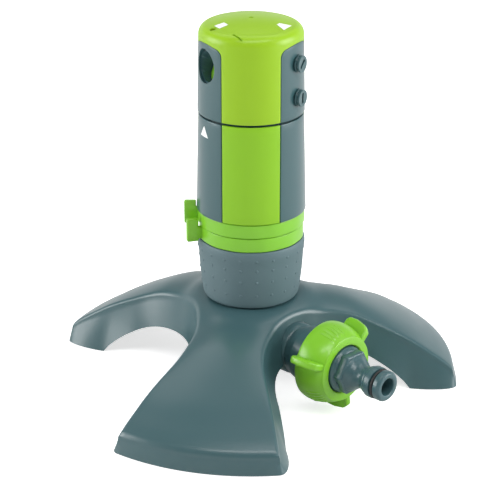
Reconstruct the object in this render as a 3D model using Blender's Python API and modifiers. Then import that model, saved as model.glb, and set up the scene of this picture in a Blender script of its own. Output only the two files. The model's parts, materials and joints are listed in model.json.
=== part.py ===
"""Gear-drive lawn sprinkler: a three-legged base, two arc rings, a geared turret and a two-way head.

The frame is +Z up, with its origin on the turret's axis at ground level and the hose inlet along +X.
Sizes are in metres. MM turns a size in millimetres into metres.
"""
import math

import bmesh
import bpy
from mathutils import Matrix, Vector

MM = 0.001

# Clearance between pieces that touch or turn past each other
GAP = 0.3 * MM

# Base: a domed shell with three legs, cut by three bays
DOME_HEIGHT = 48.0 * MM
BASE_RADIUS = 108.0 * MM
BASE_WALL = 2.6 * MM
BAY_RADIUS = 51.0 * MM
BAY_VERTEX = 30.5 * MM
BAY_SPREAD = math.radians(54.5)
BAY_FLARE = 7.0 * MM
ARCH_HEIGHT = 22.5 * MM
ARCH_REACH = 40.0 * MM
ARCH_POWER = 0.85
EDGE_DROP = 3.5 * MM
BOSS_HEIGHT = 6.4 * MM
BOSS_RADIUS = 3.2 * MM
BASE_SCREW_CIRCLE = 18.5 * MM

# Inlet: a horizontal pipe that turns up into the riser
INLET_HEIGHT = 26.5 * MM
PIPE_BORE = 11.0 * MM
PIPE_WALL = 3.4 * MM
PIPE_END = 60.0 * MM
SLEEVE_RADIUS = 13.4 * MM
SLEEVE_END = 35.5 * MM
RISER_RADIUS = 10.5 * MM
RISER_BORE = 9.2 * MM
RISER_RISE = 30.0 * MM
RISER_LIP = 2.4 * MM
RISER_FLANGE_RIM = 3.8 * MM
RISER_FLANGE_THICKNESS = 3.0 * MM

# Strainer basket in the inlet pipe
STRAINER_LENGTH = 13.0 * MM
STRAINER_WALL = 1.2 * MM
STRAINER_SLOTS = 8

# Coupling nut, hose adapter and what seals them
NUT_RADIUS = 20.8 * MM
NUT_FACE_RADIUS = 16.0 * MM
NUT_BACK = 50.6 * MM
NUT_LIP = 1.9 * MM
WING_RADIUS = 26.1 * MM
WING_THICKNESS = 3.8 * MM
WING_ANGLE = math.radians(10.0)
WASHER_THICKNESS = 1.8 * MM
ADAPTER_FLANGE = 2.6 * MM
ADAPTER_HUB_RADIUS = 11.8 * MM
HEX_ACROSS_FLATS = 20.0 * MM
HEX_LENGTH = 4.6 * MM
NECK_RADIUS = 6.0 * MM
NIPPLE_COLLAR_RADIUS = 8.0 * MM
NOSE_RADIUS = 7.8 * MM
NOSE_BORE = 4.45 * MM
NOSE_END = 95.0 * MM
O_RING_THICKNESS = 1.6 * MM

# Grip collar with the neck that carries the arc rings
COLLAR_HEIGHT = 32.0 * MM
COLLAR_LIP = 0.5 * MM
COLLAR_TAPER = 2.6 * MM
COLLAR_WALL = 2.9 * MM
NECK_WALL = 3.0 * MM

# Arc rings and their finger tabs
RING_HEIGHT = 7.2 * MM
RING_WALL = 4.4 * MM
RING_STEP = 0.4 * MM
STOP_THICKNESS = 1.3 * MM
STOP_HEIGHT = 1.5 * MM
TAB_REACH = 6.05 * MM
TAB_HEIGHT = 12.2 * MM
TAB_THICKNESS = 2.5 * MM
LOWER_TAB_ANGLE = math.radians(-118.0)
UPPER_TAB_ANGLE = math.radians(-135.0)

# Barrel: turret body below, selector head above, with three green stripes
BODY_HEIGHT = 50.8 * MM
BODY_WALL = 3.2 * MM
BODY_TAPER = 1.35 * MM
SEAM_GAP = 1.3 * MM
HEAD_HEIGHT = 46.6 * MM
HEAD_STEP = 0.35 * MM
HEAD_TAPER = 0.8 * MM
HEAD_WALL = 4.15 * MM
CROWN_RADIUS = 5.0 * MM
CROWN_RISE = 2.8 * MM
STRIPE_WIDTH = 28.9 * MM
INLAY_DEPTH = 1.5 * MM
CAP_THICKNESS = 2.0 * MM
PANEL_TOP = 37.4 * MM
FIRST_STRIPE = math.radians(-45.0)

# Gear train: involute gears of one module, two centre lines
GEAR_MODULE = 0.6 * MM
PRESSURE_ANGLE = math.radians(25.0)
PINION_TEETH = 10
WHEEL_TEETH = 30
TOOTH_PLAY = 0.09 * MM
TOOTH_ADDENDUM = 0.9
TOOTH_DEDENDUM = 1.25
RING_ADDENDUM = 0.75
WHEEL_THICKNESS = 3.4 * MM
STAGE_GAP = 0.6 * MM
OUTPUT_PINION_LENGTH = 7.0 * MM
RING_GEAR_HEIGHT = 8.0 * MM
RING_GEAR_WALL = 2.95 * MM
WHEEL_CLEARANCE = 1.66 * MM
SHAFT_RADIUS = 0.9 * MM
HUB_RADIUS = 2.3 * MM

# Turret's inner pieces
SPINDLE_BORE = 5.0 * MM
SPINDLE_RADIUS = 7.5 * MM
SPINDLE_LENGTH = 11.5 * MM
THRUST_FLANGE_RADIUS = 14.0 * MM
THRUST_FLANGE_THICKNESS = 3.0 * MM
WASHER_RING_THICKNESS = 0.9 * MM
DECK_THICKNESS = 3.3 * MM
STATOR_THICKNESS = 2.8 * MM
STATOR_PORT_CIRCLE = 8.5 * MM
STATOR_PORT_RADIUS = 0.8 * MM
STATOR_PORT_LEAN = 1.2 * MM
STATOR_PORT_SPREAD = math.radians(15.3)
WINDOW_SPREAD = math.radians(26.0)
DIVERTER_THICKNESS = 1.2 * MM
TURBINE_RADIUS = 16.5 * MM
TURBINE_HEIGHT = 8.0 * MM
BLADE_COUNT = 8
BLADE_THICKNESS = 1.0 * MM
POST_RADIUS = 2.6 * MM
POST_INSET = 6.4 * MM
TRIP_SHAFT_RADIUS = 1.5 * MM
TRIP_FINGER = 4.1 * MM
TRIP_ARM = 5.2 * MM
TRIP_ARM_WIDTH = 1.6 * MM
FORK_OPENING = 3.6 * MM
PRONG_WIDTH = 1.4 * MM
PRONG_LENGTH = 2.2 * MM
TRIP_ANGLE = math.radians(-45.0)

# Selector between the turret and the head
PORT_CIRCLE = 11.0 * MM
PORT_RADIUS = 4.2 * MM
PORT_PLATE_THICKNESS = 3.5 * MM
SEAL_RADIUS = 1.0 * MM
PIVOT_RADIUS = 1.9 * MM
DETENT_CIRCLE = 17.0 * MM
DETENT_RADIUS = 1.6 * MM
SPRING_WIRE = 0.25 * MM
SPRING_TURNS = 4

# Outlets in the head
PANEL_ANGLE_JET = math.radians(-105.0)
PANEL_ANGLE_FAN = math.radians(15.0)
JET_HEIGHT = 26.0 * MM
JET_TILT = math.radians(25.0)
JET_TUBE_BORE = 6.7 * MM
JET_TUBE_WALL = 0.9 * MM
JET_TUBE_LENGTH = 20.0 * MM
JET_NOZZLE_DEPTH = 9.0 * MM
JET_ORIFICE = 2.2 * MM
FAN_HEIGHTS = (27.3 * MM, 10.0 * MM)
FAN_SLOT_TURNS = (math.radians(-45.0), 0.0)
FAN_RADIUS = 4.2 * MM
FAN_STEM_RADIUS = 3.0 * MM
FAN_REACH = 2.8 * MM
FAN_SLOT_WIDTH = 1.3 * MM
FAN_SLOT_LENGTH = 5.2 * MM
RADIUS_SCREW_INSET = 5.95 * MM
RADIUS_SCREW_SINK = 5.1 * MM
RADIUS_SCREW_RADIUS = 1.0 * MM
RADIUS_SCREW_LENGTH = 13.0 * MM

# Facets of round shapes
BARREL_FACETS = 36
PLATE_FACETS = 24
SMALL_FACETS = 12
SCREW_FACETS = 8
SEAL_FACETS = 6

# Radii worked out from the gear train outwards
CENTRE_DISTANCE = 0.5 * GEAR_MODULE * (PINION_TEETH + WHEEL_TEETH)
RING_TEETH = int(round(2.0 * CENTRE_DISTANCE / GEAR_MODULE)) + PINION_TEETH
PINION_TIP_RADIUS = (0.5 * PINION_TEETH + TOOTH_ADDENDUM) * GEAR_MODULE
WHEEL_TIP_RADIUS = (0.5 * WHEEL_TEETH + TOOTH_ADDENDUM) * GEAR_MODULE
CORE_RADIUS = CENTRE_DISTANCE + WHEEL_TIP_RADIUS + WHEEL_CLEARANCE
BODY_TOP_RADIUS = CORE_RADIUS + BODY_WALL
BODY_BOTTOM_RADIUS = BODY_TOP_RADIUS + BODY_TAPER
HEAD_BOTTOM_RADIUS = BODY_TOP_RADIUS + HEAD_STEP
HEAD_TOP_RADIUS = HEAD_BOTTOM_RADIUS - HEAD_TAPER
HEAD_CORE_RADIUS = HEAD_BOTTOM_RADIUS - HEAD_WALL
RING_GEAR_RADIUS = (0.5 * RING_TEETH + TOOTH_DEDENDUM) * GEAR_MODULE + RING_GEAR_WALL
NECK_INNER = RING_GEAR_RADIUS + GAP
NECK_OUTER = NECK_INNER + NECK_WALL
LOWER_RING_RADIUS = NECK_OUTER + GAP + RING_WALL
UPPER_RING_RADIUS = LOWER_RING_RADIUS + RING_STEP
COLLAR_TOP_RADIUS = LOWER_RING_RADIUS + COLLAR_LIP
COLLAR_FOOT_RADIUS = COLLAR_TOP_RADIUS - COLLAR_TAPER
TAB_ROOT = max(BODY_BOTTOM_RADIUS, COLLAR_TOP_RADIUS, UPPER_RING_RADIUS) + GAP
TAB_RADIUS = TAB_ROOT + TAB_REACH
TRIP_CIRCLE = NECK_OUTER - TRIP_FINGER + 0.1 * MM
TRIP_TIP_RADIUS = TRIP_CIRCLE + TRIP_FINGER
FORK_RADIUS = TRIP_CIRCLE - TRIP_ARM
POST_CIRCLE = CORE_RADIUS - GAP - POST_INSET
RADIUS_SCREW_CIRCLE = HEAD_TOP_RADIUS - RADIUS_SCREW_INSET
PIPE_RADIUS = PIPE_BORE + PIPE_WALL
RISER_FLANGE_RADIUS = BASE_SCREW_CIRCLE + RISER_FLANGE_RIM
BAY_CENTRE = BAY_VERTEX + BAY_RADIUS

# Heights worked out from the sizes above
RISER_TOP = DOME_HEIGHT + RISER_RISE
COLLAR_BOTTOM = DOME_HEIGHT + GAP
COLLAR_TOP = COLLAR_BOTTOM + COLLAR_HEIGHT
LOWER_RING_BOTTOM = COLLAR_TOP + GAP
UPPER_RING_BOTTOM = LOWER_RING_BOTTOM + RING_HEIGHT + GAP
UPPER_RING_TOP = UPPER_RING_BOTTOM + RING_HEIGHT
NECK_TOP = UPPER_RING_TOP - STOP_HEIGHT - GAP
BODY_BOTTOM = UPPER_RING_TOP + GAP
BODY_TOP = BODY_BOTTOM + BODY_HEIGHT
HEAD_BOTTOM = BODY_TOP + SEAM_GAP
HEAD_TOP = HEAD_BOTTOM + HEAD_HEIGHT
DECK_BOTTOM = BODY_BOTTOM + GAP
DECK_TOP = DECK_BOTTOM + DECK_THICKNESS
STAGE_PITCH = WHEEL_THICKNESS + STAGE_GAP
FIRST_STAGE = DECK_TOP + STAGE_GAP
SECOND_STAGE = FIRST_STAGE + STAGE_PITCH
THIRD_STAGE = SECOND_STAGE + STAGE_PITCH
STATOR_BOTTOM = THIRD_STAGE + STAGE_PITCH
STATOR_TOP = STATOR_BOTTOM + STATOR_THICKNESS
DIVERTER_BOTTOM = STATOR_TOP + GAP
TURBINE_BOTTOM = DIVERTER_BOTTOM + DIVERTER_THICKNESS + STAGE_GAP
TURBINE_TOP = TURBINE_BOTTOM + TURBINE_HEIGHT
PORT_PLATE_TOP = BODY_TOP - 0.5 * MM
PORT_PLATE_BOTTOM = PORT_PLATE_TOP - PORT_PLATE_THICKNESS
MANIFOLD_BOTTOM = PORT_PLATE_TOP + 2.0 * (SEAL_RADIUS + GAP)
MANIFOLD_TOP = MANIFOLD_BOTTOM + 3.0 * MM
THRUST_BOTTOM = RISER_TOP + WASHER_RING_THICKNESS + 2.0 * GAP
THRUST_TOP = THRUST_BOTTOM + THRUST_FLANGE_THICKNESS
RING_GEAR_TOP = NECK_TOP - 2.0 * MM
RING_GEAR_BOTTOM = RING_GEAR_TOP - RING_GEAR_HEIGHT
FLANGE_TOP = DOME_HEIGHT - BASE_WALL - BOSS_HEIGHT - GAP
FLANGE_BOTTOM = FLANGE_TOP - RISER_FLANGE_THICKNESS

# Angles of the repeated pieces
SIDE_ANGLE = math.pi
STRIPE_ANGLES = [FIRST_STRIPE + turn * math.tau / 3.0 for turn in range(3)]
PANEL_ANGLES = [angle + math.pi / 3.0 for angle in STRIPE_ANGLES]
LEG_ANGLES = [math.pi / 3.0, math.pi, -math.pi / 3.0]
BAY_ANGLES = [0.0, 2.0 * math.pi / 3.0, -2.0 * math.pi / 3.0]
BASE_SCREW_ANGLES = [math.radians(100.0), math.pi, math.radians(-100.0)]

PARTS = None
CUTTERS = None


def clear_scene():
    """Remove what the file holds at the start."""
    for item in list(bpy.data.objects):
        bpy.data.objects.remove(item, do_unlink=True)


def new_collection(name):
    """Make a collection in the scene."""
    group = bpy.data.collections.new(name)
    bpy.context.scene.collection.children.link(group)
    return group


def new_material(name, color, roughness, metallic=0.0):
    """Make a plain Principled material."""
    material = bpy.data.materials.new(name)
    material.use_nodes = True
    shader = material.node_tree.nodes["Principled BSDF"]
    shader.inputs["Base Color"].default_value = (*color, 1.0)
    shader.inputs["Roughness"].default_value = roughness
    shader.inputs["Metallic"].default_value = metallic
    return material


def polar(radius, angle, height=0.0):
    """Give the point at a radius and an angle about the turret's axis."""
    return Vector((radius * math.cos(angle), radius * math.sin(angle), height))


def add_object(name, mesh, material, parent=None):
    """Put a mesh in the model, or among the cutters when it has no material."""
    item = bpy.data.objects.new(name, mesh)
    if material:
        mesh.materials.append(material)
        PARTS.objects.link(item)
    else:
        CUTTERS.objects.link(item)
        item.hide_render = True
        item.display_type = "WIRE"
    item.parent = parent
    return item


def solid(name, bm, material=None, parent=None):
    """Make an object of a finished bmesh, with its faces pointing out."""
    bmesh.ops.recalc_face_normals(bm, faces=bm.faces)
    mesh = bpy.data.meshes.new(name)
    bm.to_mesh(mesh)
    bm.free()
    mesh.shade_smooth()
    mesh.set_sharp_from_angle(angle=math.radians(35.0))
    return add_object(name, mesh, material, parent)


def turned(name, profile, facets, material=None, parent=None, hollow=True):
    """Turn a profile of (radius, height) points about Z. It runs down its outer side.

    A hollow profile is a closed loop. Any other starts and ends on the axis.
    """
    bm = bmesh.new()
    points = [bm.verts.new((radius, 0.0, height)) for radius, height in profile]
    for first, second in zip(points, points[1:]):
        bm.edges.new((first, second))
    if hollow:
        bm.edges.new((points[-1], points[0]))
    mesh = bpy.data.meshes.new(name)
    bm.to_mesh(mesh)
    bm.free()
    item = add_object(name, mesh, material, parent)
    screw = item.modifiers.new("turn", "SCREW")
    screw.axis = "Z"
    screw.angle = math.tau
    screw.steps = facets
    screw.render_steps = facets
    screw.use_merge_vertices = True
    screw.merge_threshold = 0.000001
    return item


def add_rod(bm, radius, start, end, facets=SMALL_FACETS, end_radius=None):
    """Add a closed cylinder or cone between two points."""
    start = Vector(start)
    end = Vector(end)
    axis = end - start
    turn = Vector((0.0, 0.0, 1.0)).rotation_difference(axis).to_matrix().to_4x4()
    place = Matrix.Translation((start + end) / 2.0) @ turn
    tip = radius if end_radius is None else end_radius
    bmesh.ops.create_cone(bm, cap_ends=True, cap_tris=False, segments=facets,
                          radius1=radius, radius2=tip, depth=axis.length, matrix=place)


def rod(name, radius, start, end, facets=SMALL_FACETS, material=None, parent=None):
    """Make one closed cylinder between two points."""
    bm = bmesh.new()
    add_rod(bm, radius, start, end, facets)
    return solid(name, bm, material, parent)


def add_box(bm, low, high, angle=0.0):
    """Add a closed box between two corners, then turn it about Z."""
    size = Vector(high) - Vector(low)
    middle = (Vector(high) + Vector(low)) / 2.0
    place = Matrix.Rotation(angle, 4, "Z") @ Matrix.Translation(middle) @ Matrix.Diagonal((*size, 1.0))
    bmesh.ops.create_cube(bm, size=1.0, matrix=place)


def add_prism(bm, outline, shift, place=None):
    """Extrude a flat outline of 3-D points by a shift, then place it."""
    face = bm.faces.new([bm.verts.new(point) for point in outline])
    grown = bmesh.ops.extrude_face_region(bm, geom=[face])
    moved = [part for part in grown["geom"] if isinstance(part, bmesh.types.BMVert)]
    bmesh.ops.translate(bm, verts=moved, vec=shift)
    if place:
        corners = moved + list(face.verts)
        bmesh.ops.transform(bm, matrix=place, verts=corners)


def add_plate(bm, outline, bottom, top, place=None):
    """Add an upright prism on a flat outline of (x, y) points."""
    add_prism(bm, [(x, y, bottom) for x, y in outline], (0.0, 0.0, top - bottom), place)


def plate(name, outline, bottom, top, material=None, parent=None):
    """Make one upright prism."""
    bm = bmesh.new()
    add_plate(bm, outline, bottom, top)
    return solid(name, bm, material, parent)


def combine(item, operation, tools):
    """Give an object a Boolean for each tool."""
    for tool in tools:
        change = item.modifiers.new(tool.name, "BOOLEAN")
        change.operation = operation
        change.object = tool
    return item


def cut(item, *tools):
    """Cut the tools out of an object."""
    return combine(item, "DIFFERENCE", tools)


def join(item, *tools):
    """Join the tools to an object."""
    return combine(item, "UNION", tools)


def axis_empty(name, location=(0.0, 0.0, 0.0), rotation=(0.0, 0.0, 0.0), parent=None):
    """Mark a joint's axis: its own Z axis is the axis."""
    item = bpy.data.objects.new(name, None)
    item.location = location
    item.rotation_euler = rotation
    item.empty_display_size = 10.0 * MM
    item.parent = parent
    PARTS.objects.link(item)
    return item


def ring_profile(inner, outer, bottom, top):
    """Give the closed profile of a plain ring."""
    return [(inner, top), (outer, top), (outer, bottom), (inner, bottom)]


def arc_points(centre, radius, start, end, steps):
    """Give the points of an arc in a plane, from one angle to another."""
    points = []
    for step in range(steps + 1):
        angle = start + (end - start) * step / steps
        points.append((centre[0] + radius * math.cos(angle), centre[1] + radius * math.sin(angle)))
    return points


def circle_points(radius, facets, centre=(0.0, 0.0)):
    """Give the corners of a regular polygon."""
    return arc_points(centre, radius, 0.0, math.tau, facets)[:-1]


def interpolate(value, points):
    """Read a straight-line graph of (value, result) points."""
    if value <= points[0][0]:
        return points[0][1]
    for (low, first), (high, second) in zip(points, points[1:]):
        if value <= high:
            return first + (second - first) * (value - low) / (high - low)
    return points[-1][1]


def half_leg_angle(radius):
    """Give half the angle that a leg spans at a radius from the centre."""
    if radius <= BAY_VERTEX:
        return math.pi / 3.0
    tangent_x = BAY_CENTRE - BAY_RADIUS * math.cos(BAY_SPREAD)
    tangent_y = BAY_RADIUS * math.sin(BAY_SPREAD)
    if radius < math.hypot(tangent_x, tangent_y):
        share = (radius ** 2 + BAY_CENTRE ** 2 - BAY_RADIUS ** 2) / (2.0 * radius * BAY_CENTRE)
        return math.pi / 3.0 - math.acos(max(-1.0, min(1.0, share)))
    offset = BAY_CENTRE * math.cos(BAY_SPREAD) - BAY_RADIUS
    return math.pi / 3.0 - (math.acos(offset / radius) - BAY_SPREAD)


def crown_profile():
    """Give the (radius, height) points along the top of a leg's centre line."""
    reach = BASE_RADIUS
    top = DOME_HEIGHT
    return [
        (0.26 * reach, top),
        (0.335 * reach, 0.938 * top),
        (0.42 * reach, 0.887 * top),
        (0.5 * reach, 0.833 * top),
        (0.595 * reach, 0.738 * top),
        (0.7 * reach, 0.612 * top),
        (0.8 * reach, 0.487 * top),
        (0.88 * reach, 0.373 * top),
        (0.93 * reach, 0.3 * top),
        (0.957 * reach, 0.25 * top),
        (0.977 * reach, 0.208 * top),
    ]


def edge_drop(radius):
    """Give how far a leg's edges lie below its centre line at a radius."""
    return EDGE_DROP * interpolate(radius, [(0.19 * BASE_RADIUS, 0.0), (0.28 * BASE_RADIUS, 0.8),
                                            (0.4 * BASE_RADIUS, 1.0), (0.5 * BASE_RADIUS, 0.88),
                                            (0.6 * BASE_RADIUS, 0.68), (0.74 * BASE_RADIUS, 0.25),
                                            (BASE_RADIUS, 0.12)])


def leg_height(radius, angle, crown):
    """Give the height of the base's top at a point, lower towards a leg's edges."""
    nearest = min(abs(math.remainder(angle - leg, math.tau)) for leg in LEG_ANGLES)
    share = min(1.15, nearest / half_leg_angle(radius))
    return interpolate(radius, crown) - edge_drop(radius) * share ** 2


def dome_solid(name, inner, inset, bottom, facets, material=None):
    """Make a turned dome, then crown its top over each leg. The inset makes it smaller all round."""
    crown = crown_profile()
    radii = [inner] + [radius for radius, height in crown if radius > inner]
    rim = BASE_RADIUS - inset
    bm = bmesh.new()
    top_edge = [bm.verts.new((radius, 0.0, 1.0)) for radius in radii]
    foot = [bm.verts.new((rim, 0.0, bottom)), bm.verts.new((inner, 0.0, bottom))]
    loop = top_edge + foot
    for first, second in zip(loop, loop[1:] + loop[:1]):
        bm.edges.new((first, second))
    bmesh.ops.spin(bm, geom=list(bm.edges) + list(bm.verts), cent=(0.0, 0.0, 0.0), axis=(0.0, 0.0, 1.0),
                   angle=math.tau, steps=facets, use_merge=True)
    bmesh.ops.remove_doubles(bm, verts=bm.verts, dist=0.01 * MM)
    for corner in bm.verts:
        if corner.co.z > 0.5:
            radius = math.hypot(corner.co.x, corner.co.y)
            angle = math.atan2(corner.co.y, corner.co.x)
            corner.co.z = leg_height(radius, angle, crown) - inset
            shrink = 1.0 - inset / BASE_RADIUS * (radius / BASE_RADIUS)
            corner.co.x *= shrink
            corner.co.y *= shrink
    return solid(name, bm, material)


def arch_height(along):
    """Give the height of the open arch under a bay's wall, by the distance along the bay."""
    share = min(1.0, max(0.0, (along - BAY_VERTEX) / ARCH_REACH))
    return ARCH_HEIGHT * (1.0 - share ** 2) ** ARCH_POWER


def bay_side(inset):
    """Give the (crease, foot) points of one side of a bay's wall, from its vertex out past the rim."""
    radius = BAY_RADIUS + inset
    side = []
    for step in range(8):
        turn = BAY_SPREAD * step / 7
        lean = BAY_FLARE * (0.53 + 0.41 * (step / 7) ** 2)
        side.append([(BAY_CENTRE - reach * math.cos(turn), reach * math.sin(turn))
                     for reach in (radius, radius - lean)])
    start = Vector((BAY_CENTRE - radius * math.cos(BAY_SPREAD), radius * math.sin(BAY_SPREAD)))
    way = Vector((math.sin(BAY_SPREAD), math.cos(BAY_SPREAD)))
    inward = Vector((math.cos(BAY_SPREAD), -math.sin(BAY_SPREAD)))
    middle = start.dot(way)
    length = math.sqrt(middle ** 2 - start.length ** 2 + BASE_RADIUS ** 2) - middle
    for past in (0.22, 0.48, 0.62, 0.76, 0.88, 0.96, 1.0, 2.6):
        share = min(1.0, max(0.0, (past - 0.48) / 0.52))
        crease = start + past * length * way
        foot = crease + BAY_FLARE * math.sqrt(1.0 - share ** 2) * inward
        side.append([tuple(crease), tuple(foot)])
    return side


def bay_cutter(name, inset):
    """Make the three bays: a round vertex and straight sides, whose walls lean out towards the ground."""
    crown = crown_profile()
    side = bay_side(inset)
    mirrored = [[(x, -y) for x, y in pair] for pair in side[:0:-1]]
    bm = bmesh.new()
    for angle in BAY_ANGLES:
        turn = Matrix.Rotation(angle, 4, "Z")
        columns = []
        for crease, foot in mirrored + side:
            radius = math.hypot(*crease)
            edge = interpolate(radius, crown) - edge_drop(radius) - inset
            levels = [(foot, -DOME_HEIGHT), (foot, arch_height(foot[0])), (crease, edge),
                      (crease, 2.0 * DOME_HEIGHT)]
            columns.append([bm.verts.new(turn @ Vector((spot[0], spot[1], height)))
                            for spot, height in levels])
        for first, second in zip(columns, columns[1:] + columns[:1]):
            for low in range(3):
                bm.faces.new((first[low], second[low], second[low + 1], first[low + 1]))
        bm.faces.new([column[0] for column in columns])
        bm.faces.new([column[3] for column in columns])
    return solid(name, bm)


def arch_cutter():
    """Make the three arches that lift the bay walls off the ground."""
    near = BAY_VERTEX - 2.0 * BASE_WALL
    steps = 8
    outline = [(near, 0.0, -ARCH_HEIGHT), (BAY_VERTEX + ARCH_REACH, 0.0, -ARCH_HEIGHT)]
    for step in range(steps, -1, -1):
        along = BAY_VERTEX + ARCH_REACH * step / steps
        outline.append((along, 0.0, arch_height(along)))
    outline.append((near, 0.0, ARCH_HEIGHT))
    bm = bmesh.new()
    half_width = BAY_RADIUS
    for angle in BAY_ANGLES:
        place = Matrix.Rotation(angle, 4, "Z") @ Matrix.Translation((0.0, -half_width, 0.0))
        add_prism(bm, outline, (0.0, 2.0 * half_width, 0.0), place)
    return solid("arch_cutter", bm)


def make_base(grey):
    """Make the three-legged shell that stands on the lawn."""
    shell = dome_solid("base_shell", RISER_RADIUS + 0.5 * MM, 0.0, 0.0, 60, grey)
    cavity = dome_solid("base_cavity", 0.5 * MM, BASE_WALL, -1.0 * MM, 42)
    cut(cavity, bay_cutter("cavity_bays", BASE_WALL))
    cut(shell, bay_cutter("base_bays", 0.0), cavity, arch_cutter())
    bosses = bmesh.new()
    holes = bmesh.new()
    top = DOME_HEIGHT - BASE_WALL
    for angle in BASE_SCREW_ANGLES:
        spot = polar(BASE_SCREW_CIRCLE, angle)
        low = spot + Vector((0.0, 0.0, top - BOSS_HEIGHT))
        add_rod(bosses, BOSS_RADIUS, low, spot + Vector((0.0, 0.0, top + 0.5 * BASE_WALL)), 12)
        add_rod(holes, 0.5 * BOSS_RADIUS, low - Vector((0.0, 0.0, 1.0 * MM)),
                spot + Vector((0.0, 0.0, top)), 10)
    join(shell, solid("boss_pillars", bosses))
    pipe_hole = rod("pipe_hole", SLEEVE_RADIUS + GAP, (8.0 * MM, 0.0, INLET_HEIGHT),
                    (BAY_VERTEX + SLEEVE_RADIUS, 0.0, INLET_HEIGHT), 32)
    cut(shell, solid("boss_holes", holes), pipe_hole)


def riser_profile():
    """Give the profile of the upright pipe with its fixing flange and its flat foot."""
    return [(0.0, RISER_TOP), (RISER_RADIUS, RISER_TOP), (RISER_RADIUS, FLANGE_TOP),
            (RISER_FLANGE_RADIUS, FLANGE_TOP), (RISER_FLANGE_RADIUS, FLANGE_BOTTOM),
            (RISER_RADIUS, FLANGE_BOTTOM), (RISER_RADIUS, 0.0), (0.0, 0.0)]


def make_inlet_elbow(grey, inlet_axis):
    """Make the pipe that carries the water in from the side and up the middle."""
    elbow = turned("inlet_elbow", riser_profile(), PLATE_FACETS, grey, hollow=False)
    pipe = turned("inlet_pipe", [(0.0, PIPE_END), (PIPE_RADIUS, PIPE_END), (PIPE_RADIUS, SLEEVE_END + 6.0 * MM),
                                 (SLEEVE_RADIUS - 0.7 * MM, SLEEVE_END + 0.4 * MM),
                                 (SLEEVE_RADIUS - 0.9 * MM, SLEEVE_END), (SLEEVE_RADIUS, SLEEVE_END - 6.0 * MM),
                                 (SLEEVE_RADIUS, 8.0 * MM), (RISER_RADIUS, 1.0 * MM), (0.0, 1.0 * MM)],
                  PLATE_FACETS, parent=inlet_axis, hollow=False)
    join(elbow, pipe)
    screw_holes = bmesh.new()
    for angle in BASE_SCREW_ANGLES:
        spot = polar(BASE_SCREW_CIRCLE, angle)
        add_rod(screw_holes, 0.5 * BOSS_RADIUS, spot + Vector((0.0, 0.0, FLANGE_BOTTOM - 1.0 * MM)),
                spot + Vector((0.0, 0.0, FLANGE_TOP + 1.0 * MM)), 10)
    cut(elbow,
        rod("riser_bore", RISER_BORE, (0.0, 0.0, INLET_HEIGHT - 0.5 * PIPE_BORE),
            (0.0, 0.0, RISER_TOP - RISER_LIP), PLATE_FACETS),
        rod("lip_bore", SPINDLE_RADIUS + GAP, (0.0, 0.0, INLET_HEIGHT),
            (0.0, 0.0, RISER_TOP + 1.0 * MM), PLATE_FACETS),
        rod("pipe_bore", PIPE_BORE, (RISER_RADIUS, 0.0, INLET_HEIGHT),
            (PIPE_END + 1.0 * MM, 0.0, INLET_HEIGHT), PLATE_FACETS),
        rod("elbow_bore", 0.75 * PIPE_BORE, (0.0, 0.0, INLET_HEIGHT),
            (RISER_RADIUS + 1.0 * MM, 0.0, INLET_HEIGHT), 24),
        solid("flange_holes", screw_holes))


def make_screw(name, spot, bottom, top, head_radius, head_height, shank_radius, steel, parent=None):
    """Make a screw whose head is at its lower end."""
    screw = turned(name, [(0.0, top), (shank_radius, top), (shank_radius, bottom + head_height),
                          (head_radius, bottom + head_height), (head_radius, bottom), (0.0, bottom)],
                   SCREW_FACETS, steel, parent, hollow=False)
    screw.location = spot


def make_base_screws(steel):
    """Make the three screws that hold the elbow's flange under the dome."""
    head = 2.2 * MM
    bottom = FLANGE_BOTTOM - GAP - head
    top = DOME_HEIGHT - BASE_WALL - 1.0 * MM
    for number, angle in enumerate(BASE_SCREW_ANGLES, start=1):
        make_screw("base_screw_%d" % number, polar(BASE_SCREW_CIRCLE, angle), bottom, top,
                   BOSS_RADIUS - GAP, head, 0.5 * BOSS_RADIUS - GAP, steel)


def make_strainer(grey, inlet_axis):
    """Make the slotted basket that keeps grit out of the gear train."""
    outer = PIPE_BORE - GAP
    nose = 0.7 * outer
    end = PIPE_END - 0.5 * STRAINER_WALL
    low = end - STRAINER_LENGTH
    neck = end - 2.5 * STRAINER_WALL
    profile = [(outer - STRAINER_WALL, end), (outer, end), (outer, end - 1.5 * STRAINER_WALL),
               (outer - STRAINER_WALL, neck), (nose, low), (0.0, low), (0.0, low + STRAINER_WALL),
               (nose - STRAINER_WALL, low + STRAINER_WALL), (outer - 2.0 * STRAINER_WALL, neck)]
    basket = turned("inlet_strainer", profile, PLATE_FACETS, grey, inlet_axis)
    slots = bmesh.new()
    for turn in range(STRAINER_SLOTS):
        add_box(slots, (0.5 * nose, -0.6 * STRAINER_WALL, low + 1.7 * STRAINER_WALL),
                (1.2 * outer, 0.6 * STRAINER_WALL, neck - STRAINER_WALL),
                math.tau * (turn + 0.5) / STRAINER_SLOTS)
    cut(basket, solid("strainer_slots", slots, parent=inlet_axis))


def nut_profile():
    """Give the closed profile of the nut about the inlet's axis: bore, thread bore and lip."""
    washer_top = PIPE_END + GAP + WASHER_THICKNESS
    seat = washer_top + GAP + ADAPTER_FLANGE + GAP
    front = seat + NUT_LIP
    bore = PIPE_RADIUS + 0.4 * MM
    hole = ADAPTER_HUB_RADIUS + 0.7 * MM
    length = front - NUT_BACK
    return [(hole, front), (NUT_FACE_RADIUS, front), (NUT_FACE_RADIUS + 1.6 * MM, front - 0.08 * length),
            (NUT_RADIUS - 1.4 * MM, front - 0.24 * length), (NUT_RADIUS - 0.4 * MM, front - 0.45 * length),
            (NUT_RADIUS, front - 0.68 * length), (NUT_RADIUS, NUT_BACK + 1.0 * MM),
            (NUT_RADIUS - 1.0 * MM, NUT_BACK), (bore, NUT_BACK), (bore, seat), (hole, seat)]


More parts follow.
